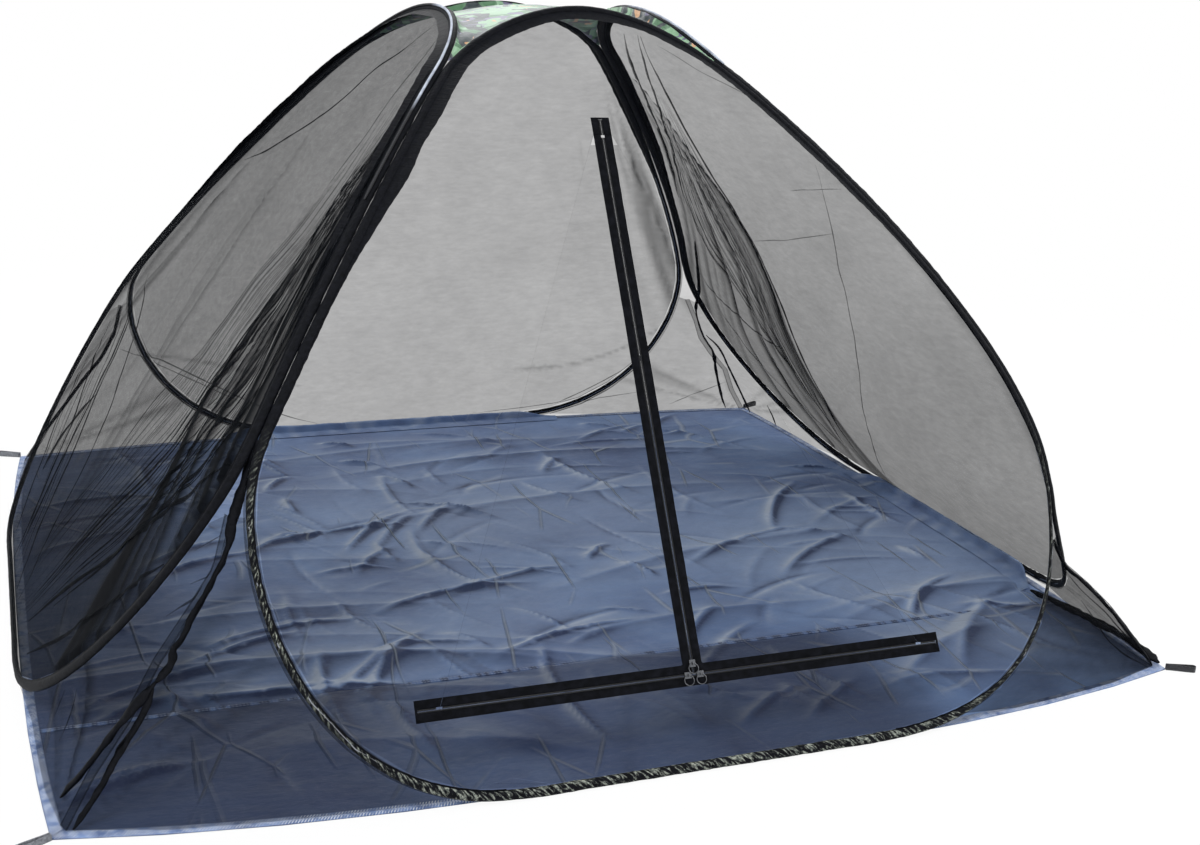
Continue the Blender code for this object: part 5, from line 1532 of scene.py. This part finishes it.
def seam_tube(line, width, seed):
    """Wavering flat tube of bunched cloth along a line, about width across."""
    line = spline(line, 0.004)
    run = directions(line)
    length = lengths_along(line)
    level = np.cross(run, UP)
    level /= np.linalg.norm(level, axis=1)[:, None]
    other = np.cross(level, run)
    sides, ways = [], []
    for k in range(len(line)):
        twist = 0.9 * rough(length[k] * 14.0, seed)
        sides.append(level[k] * math.cos(twist) + other[k] * math.sin(twist))
        ways.append(-level[k] * math.sin(twist) + other[k] * math.cos(twist))
    half = width / 2.0

    def end(k):
        return half * (0.35 + 0.65 * min(1.0, min(k, len(line) - 1 - k) / 6.0))

    def wide(k, turn):
        crumpled = 0.5 * rough(length[k] * 38.0, seed + 2.0) + 0.2 * rough(length[k] * 140.0, turn)
        return end(k) * (0.9 + crumpled)

    def thick(k, turn):
        return 0.5 * end(k) * (0.9 + 0.5 * rough(length[k] * 50.0, seed + 5.0, turn))

    points, faces = tube_shape(line, sides, ways, wide, thick, 10)
    return points, faces, np.repeat(length, 10)


# The net gathered on the hem behind the front right corner, in millimetres
HEM_GATHER = ((985, -962, 14), (990, -900, 17), (988, -820, 20), (984, -740, 18), (978, -650, 14),
              (970, -560, 10))


class NETTENT_OT_corner_seams(bpy.types.Operator):
    """Make the bunched black seams that run from each split to its floor corner, with their branches"""

    bl_idname = "nettent.corner_seams"
    bl_label = "Corner seams"

    def execute(self, context):
        for corner in CORNERS:
            node = "corner_seam_" + corner
            centre = centre_line(node, 15)
            if centre[0][2] < centre[-1][2]:
                centre = centre[::-1]
            ahead = [name for name in NODES if name.startswith("gusset_" + corner)]
            among = ahead + (["back_net", "right_net"] if corner == "back_right" else [node])
            strands = [(wide, sight(among, px, corner == "back_right"))
                       for wide, px in SEAM_PIXELS.get(corner, ())]
            if corner == "front_right":
                strands = [(14.0, centre), (24.0, np.array(HEM_GATHER) / 1000.0 * (1.0, 0.93, 1.0))]
            elif strands:
                width, rows = strands[0]
                head = corner_frame(corner)[1] if corner == "front_left" else 2.0 * rows[0] - rows[2]
                strands[0] = (width, np.vstack([head, rows]))
            else:
                strands = [(16.0, centre)]
            points, faces, lengths = [], [], []
            for number, (width, rows) in enumerate(strands):
                more, more_faces, more_lengths = seam_tube(rows, width / 1000.0, len(corner) * 3.1 + number)
                faces += [[i + len(points) for i in face] for face in more_faces]
                points += list(more)
                lengths += list(more_lengths)
            lengths = np.array(lengths)
            made = new_piece("bunched_seam_" + corner, points, faces, stuff("sleeve"),
                             {"length": lengths, "turn": lengths * 0.0, "wrap": lengths * 0.0})
            turn_out(made)
            seat(made, ROOT, "sleeve_fabric", node)
            self.web(corner, node)
        return {"FINISHED"}

    def web(self, corner, node):
        """Strip of gathered net that closes the wall along the bunched seam."""
        spots = np.array([v.co[:] for v in NODES[node].data.vertices])
        centre = centre_line(node, 15)
        way = unit(centre[-1] - centre[0])
        along = spots @ way
        points = []
        for k, middle in enumerate(centre):
            near = spots[np.abs(along - middle @ way) < 0.03] - middle
            near = near - np.outer(near @ way, way)
            side = np.linalg.svd(near, full_matrices=False)[2][0]
            if k and side @ last_side < 0.0:
                side = -side
            last_side = side
            half = max(0.008, float(np.abs(near @ side).max()))
            points += [middle + side * (half * share) for share in (-1.0, -0.33, 0.33, 1.0)]
        faces = band_faces(len(centre), 4)
        made = new_piece("seam_web_" + corner, points, faces, stuff("net"),
                         {"gather": np.full(len(points), 0.45), "layer": np.full(len(points), 1.0)})
        seat(made, ROOT, "net")


def tape_piece(node, name, body):
    """Zip tape from its plate, finely divided and lightly puckered, with its distance from the chain."""
    points, normals, faces, _ = cloth_surface(node, 0.009, 9)
    height = (points - np.array([0.0, DOOR_FOOT_Y, 0.0])) @ DOOR_UP
    upright = (np.abs(points[:, 0]) < TAPE_OUT + 0.002) & (height > DOOR_SILL + TAPE_OUT)
    across = np.where(upright, np.abs(points[:, 0]), np.abs(height - DOOR_SILL))
    free = smooth((across - 0.006) / 0.01)
    pucker = np.array([rough(p[0] * 45.0, p[1] * 45.0, p[2] * 45.0) for p in points])
    points = points + normals * (0.0008 * pucker * free)[:, None]
    made = new_piece(name, points, faces, stuff("tape"), {"across": across})
    thicken(made, CLOTH_THICK, -1.0)
    seat(made, body, "zip_tape", node)


class NETTENT_OT_zip_tapes(bpy.types.Operator):
    """Make the woven zip tapes of the door"""

    bl_idname = "nettent.zip_tapes"
    bl_label = "Zip tapes"

    def execute(self, context):
        tape_piece("left_flap_zip_tape", "zip_tape_left_flap", "left_flap")
        tape_piece("right_flap_zip_tape", "zip_tape_right_flap", "right_flap")
        tape_piece("sill_zip_tape", "zip_tape_sill", ROOT)
        tape_piece("top_zip_tape", "zip_tape_top", ROOT)
        return {"FINISHED"}


# Faces of a small block whose points run through its ends, its sides and its depth in turn
BOX_FACES = ((0, 1, 3, 2), (4, 6, 7, 5), (0, 4, 5, 1), (2, 3, 7, 6), (0, 2, 6, 4), (1, 5, 7, 3))


class NETTENT_OT_zip_coils(bpy.types.Operator):
    """Make the turned coils of the zip chains from one modelled turn"""

    bl_idname = "nettent.zip_coils"
    bl_label = "Zip coils"

    def execute(self, context):
        shape, faces = self.one_turn()
        sill, top = DOOR_SILL, DOOR_TOP
        side, near = DOOR_HALF - FLAP_GAP, DOOR_HALF + FLAP_GAP
        far = near + STUB_LENGTH - STUB_END - 0.0003
        end = top + STUB_LENGTH - STUB_END - 0.0003
        runs = {
            "left_flap_zip_chain": ("left_flap", [("v", -1, sill + CHAIN_IN, top - FLAP_GAP),
                                                  ("h", 1, -side, -CHAIN_OUT)]),
            "right_flap_zip_chain": ("right_flap", [("v", 1, sill + CHAIN_IN, top - FLAP_GAP),
                                                    ("h", 1, CHAIN_OUT, side)]),
            "sill_zip_chain": (ROOT, [("h", -1, -far, far), ("h", 1, near, far), ("h", 1, -far, -near)]),
            "top_zip_chain": (ROOT, [("v", -1, top, end), ("v", 1, top, end)]),
        }
        for node, (body, lines) in runs.items():
            points, all_faces = [], []
            for kind, sign, start, stop in lines:
                def at(along, reach, out):
                    if kind == "v":
                        return door_point(reach, along, out)
                    return door_point(along, sill + reach, out)

                count = max(2, int((stop - start) / sizes().tooth_pitch))
                shift = 0.5 if sign < 0 else 0.25
                for k in range(count):
                    along = start + (k + shift) * (stop - start) / count
                    base = len(points)
                    points += [at(along + b, sign * (CHAIN_IN - 0.0006 + a), c) for a, b, c in shape]
                    all_faces += [[i + base for i in f] for f in faces]
                base = len(points)
                for along in (start, stop):
                    for reach in (CHAIN_IN + 0.0001, TAPE_IN + 0.0004):
                        points += [at(along, sign * reach, out) for out in (-0.0012, -0.0006)]
                all_faces += [[i + base for i in face] for face in BOX_FACES]
            made = turn_out(new_piece(node.replace("chain", "coil"), points, all_faces, stuff("coil")))
            seat(made, body, "zip_chain", node)
        return {"FINISHED"}

    def one_turn(self):
        """One turn of the coil: a small bent bead with its head towards the middle of the zip."""
        bpy.ops.object.select_all(action="DESELECT")
        bpy.ops.mesh.primitive_cube_add(size=1.0, location=(0.0, 0.0, 0.0))
        bead = bpy.context.object
        bead.scale = (0.0028, 0.00115, 0.0016)
        bpy.ops.object.transform_apply(location=True, rotation=True, scale=True)
        bpy.ops.object.mode_set(mode="EDIT")
        bpy.ops.mesh.select_all(action="SELECT")
        bpy.ops.mesh.bevel(offset=0.00035, segments=1, affect="EDGES")
        bpy.ops.object.mode_set(mode="OBJECT")
        shape = []
        for v in bead.data.vertices:
            x, y, z = v.co
            head = 1.0 + (0.25 if x < -0.0006 else 0.0)
            shape.append((x + 0.0014, y * head + 0.12 * x, z * head))
        faces = [list(p.vertices) for p in bead.data.polygons]
        bpy.data.objects.remove(bead)
        return shape, faces


# How the names of the metal nodes begin, and their finish
NODE_FINISHES = (("zip_slider", "nickel"), ("zip_pull", "nickel"),
                 ("hoop_wire", "spring"), ("ferrule", "ferrule"))


class NETTENT_OT_metal(bpy.types.Operator):
    """Round the edges of the sliders and their ring pulls, and give the metal nodes their finish"""

    bl_idname = "nettent.metal"
    bl_label = "Sliders, pulls and hidden steel"

    def execute(self, context):
        for node, made in NODES.items():
            for beginning, kind in NODE_FINISHES:
                if node.startswith(beginning):
                    made.data.materials.clear()
                    made.data.materials.append(stuff(kind))
            if node.startswith(("zip_slider", "zip_pull")):
                weld = made.modifiers.new("weld", "WELD")
                weld.merge_threshold = 0.00002
            if node.startswith("zip_slider"):
                bevel = made.modifiers.new("edges", "BEVEL")
                bevel.width = 0.00022
                bevel.segments = 2
                bevel.limit_method = "ANGLE"
                bevel.angle_limit = math.radians(40)
            elif node.startswith("zip_pull"):
                soft = made.modifiers.new("round", "SUBSURF")
                soft.levels = 1
                soft.render_levels = 1
        return {"FINISHED"}


# Length, half width, height and half thickness of a corner loop's webbing, and its points up that height
LOOP_REACH = 0.05
LOOP_HALF = 0.005
LOOP_HEIGHT = 0.0115
LOOP_THICK = 0.0007
LOOP_ROWS = 6


class NETTENT_OT_loops(bpy.types.Operator):
    """Make the webbing peg loops at the floor corners"""

    bl_idname = "nettent.loops"
    bl_label = "Corner loops"

    def execute(self, context):
        for corner, (sx, sy, *_) in CORNERS.items():
            node = "corner_loop_" + corner
            out = unit(np.array([sx, sy * 0.5, 0.0]))
            across = np.cross(UP, out)
            start = np.array([sx, sy * 0.9, 0.0]) - out * 0.0004
            shares = np.linspace(0.0, 1.0, 9)
            near = [(LOOP_REACH * t, LOOP_HALF * (0.45 + 0.55 * smooth(t))) for t in shares]
            line = [(a, b, 0.0, 1.0) for a, b in near]
            for k in range(1, 12):
                turn = math.pi * k / 12
                s, c = math.sin(turn), math.cos(turn)
                line.append((LOOP_REACH + LOOP_HALF * s, LOOP_HALF * c, s, c))
            line += [(a, -b, 0.0, -1.0) for a, b in near[::-1]]
            points, faces = [], []
            rows = LOOP_ROWS
            for a, b, na, nb in line:
                centre = start + out * a + across * b
                normal = out * na + across * nb
                for s in (-1, 1):
                    for r in range(rows):
                        t = r / (rows - 1)
                        belly = LOOP_THICK * (0.55 + 0.45 * math.sin(math.pi * min(max(t, 0.08), 0.92)))
                        points.append(centre + normal * s * belly + UP * (0.0003 + LOOP_HEIGHT * t))
            block = rows * 2
            for k in range(len(line) - 1):
                for r in range(rows - 1):
                    a = k * block + r
                    faces.append((a, a + 1, a + 1 + block, a + block))
                    b = a + rows
                    faces.append((b, b + block, b + 1 + block, b + 1))
                for r in (0, rows - 1):
                    a = k * block + r
                    faces.append((a, a + rows, a + rows + block, a + block))
            for k in (0, len(line) - 1):
                for r in range(rows - 1):
                    a = k * block + r
                    faces.append((a, a + 1, a + 1 + rows, a + rows))
            kind = "black_webbing" if sx > 0 else "grey_webbing"
            made = turn_out(new_piece("peg_loop_" + corner, points, faces, stuff(kind)))
            seat(made, ROOT, kind, node)
        return {"FINISHED"}


# Colour and strength of the sky that lights the tent and of the sky that the camera sees
SKY_LIGHT = ((0.93, 0.96, 1.0, 1.0), 0.85)
SKY_SEEN = ((1.0, 1.0, 1.0, 1.0), 1.0)
# Name, place, size and power of each soft light
LIGHTS = (
    ("stage_key", (-2.6, -3.2, 4.2), 2.2, 150.0), ("stage_fill", (3.6, -1.6, 3.2), 2.6, 75.0),
    ("stage_back", (0.8, 4.0, 3.6), 2.4, 100.0),
)


class NETTENT_OT_stage(bpy.types.Operator):
    """Make the pale floor, the soft lights and the camera"""

    bl_idname = "nettent.stage"
    bl_label = "Stage, lights and camera"

    def execute(self, context):
        scene = context.scene
        bpy.ops.object.select_all(action="DESELECT")
        bpy.ops.mesh.primitive_plane_add(size=40.0, location=(0.0, 0.0, 0.0))
        ground = context.object
        ground.name = "stage_ground"
        n = Nodes("stage_pale_floor")
        path = n.add("ShaderNodeLightPath")
        n.set(Base_Color=(0.83, 0.83, 0.83, 1.0), Roughness=0.9)
        n.set(Specular_IOR_Level=0.1)
        output = n.tree.nodes["Material Output"]
        glow = n.add("ShaderNodeEmission")
        glow.inputs["Strength"].default_value = 1.0
        glow.inputs["Color"].default_value = (1.0, 1.0, 1.0, 1.0)
        mix = n.add("ShaderNodeMixShader")
        seen = n.math("MAXIMUM", path.outputs["Is Camera Ray"], path.outputs["Is Transmission Ray"])
        spot = n.add("ShaderNodeTexCoord")
        reach = n.add("ShaderNodeVectorMath", operation="LENGTH")
        n.link(spot.outputs["Object"], reach.inputs[0])
        n.link(n.times(seen, n.span(reach.outputs["Value"], 1.8, 3.6, 0.93, 1.0)), mix.inputs[0])
        n.link(n.shader.outputs[0], mix.inputs[1])
        n.link(glow.outputs[0], mix.inputs[2])
        n.link(mix.outputs[0], output.inputs["Surface"])
        ground.data.materials.append(n.material)
        world = bpy.data.worlds.new("stage_world")
        scene.world = world
        world.use_nodes = True
        tree = world.node_tree
        tree.nodes.clear()
        out, path, mix, most = (tree.nodes.new("ShaderNode" + kind)
                                for kind in ("OutputWorld", "LightPath", "MixShader", "Math"))
        most.operation = "MAXIMUM"
        for number, kind in enumerate(("Camera", "Transmission")):
            tree.links.new(path.outputs["Is %s Ray" % kind], most.inputs[number])
        tree.links.new(most.outputs[0], mix.inputs[0])
        for number, (colour, strength) in enumerate((SKY_LIGHT, SKY_SEEN), 1):
            sky = tree.nodes.new("ShaderNodeBackground")
            sky.inputs["Color"].default_value = colour
            sky.inputs["Strength"].default_value = strength
            tree.links.new(sky.outputs[0], mix.inputs[number])
        tree.links.new(mix.outputs[0], out.inputs["Surface"])
        for lamp in LIGHTS:
            self.light(*lamp)
        data = bpy.data.cameras.new("photo_camera")
        camera = bpy.data.objects.new("photo_camera", data)
        scene.collection.objects.link(camera)
        right, above, forward = photo_axes()
        turn = Matrix((right, above, -forward)).transposed()
        camera.matrix_world = Matrix.Translation(PHOTO_PLACE) @ turn.to_4x4()
        data.sensor_fit = "HORIZONTAL"
        data.sensor_width = 36.0
        data.lens = PHOTO_FOCAL * data.sensor_width / PHOTO_SIZE[0]
        data.clip_end = 100.0
        scene.camera = camera
        scene.view_settings.view_transform = "Standard"
        return {"FINISHED"}

    def light(self, name, spot, size, power):
        """Soft square light aimed at the middle of the tent."""
        data = bpy.data.lights.new(name, "AREA")
        data.energy = power
        data.size = size
        made = bpy.data.objects.new(name, data)
        bpy.context.scene.collection.objects.link(made)
        made.location = spot
        aim = Vector((0.0, 0.0, 0.4)) - Vector(spot)
        made.rotation_euler = aim.to_track_quat("-Z", "Y").to_euler()


class NETTENT_PT_panel(bpy.types.Panel):
    """Lists the tent's sizes, finishes and pieces"""

    bl_idname = "NETTENT_PT_panel"
    bl_label = "Net Tent"
    bl_space_type = "VIEW_3D"
    bl_region_type = "UI"
    bl_category = "Net Tent"

    def draw(self, context):
        for group in (context.scene.net_tent_sizes, context.scene.net_tent_finish):
            for key in group.__annotations__:
                self.layout.prop(group, key)
        for operator in OPERATORS:
            self.layout.operator(operator.bl_idname)


OPERATORS = (
    NETTENT_OT_floor, NETTENT_OT_hem, NETTENT_OT_sleeves, NETTENT_OT_piping, NETTENT_OT_nets,
    NETTENT_OT_crown, NETTENT_OT_corner_seams, NETTENT_OT_zip_tapes, NETTENT_OT_zip_coils,
    NETTENT_OT_metal, NETTENT_OT_loops, NETTENT_OT_stage,
)
CLASSES = (NetTentSizes, NetTentFinish, *OPERATORS, NETTENT_PT_panel)


def register():
    for kind in CLASSES:
        bpy.utils.register_class(kind)
    bpy.types.Scene.net_tent_sizes = bpy.props.PointerProperty(type=NetTentSizes)
    bpy.types.Scene.net_tent_finish = bpy.props.PointerProperty(type=NetTentFinish)


def unregister():
    del bpy.types.Scene.net_tent_finish
    del bpy.types.Scene.net_tent_sizes
    for kind in reversed(CLASSES):
        bpy.utils.unregister_class(kind)


def main():
    register()
    for operator in OPERATORS:
        group, name = operator.bl_idname.split(".")
        getattr(getattr(bpy.ops, group), name)()


if __name__ == "__main__":
    main()
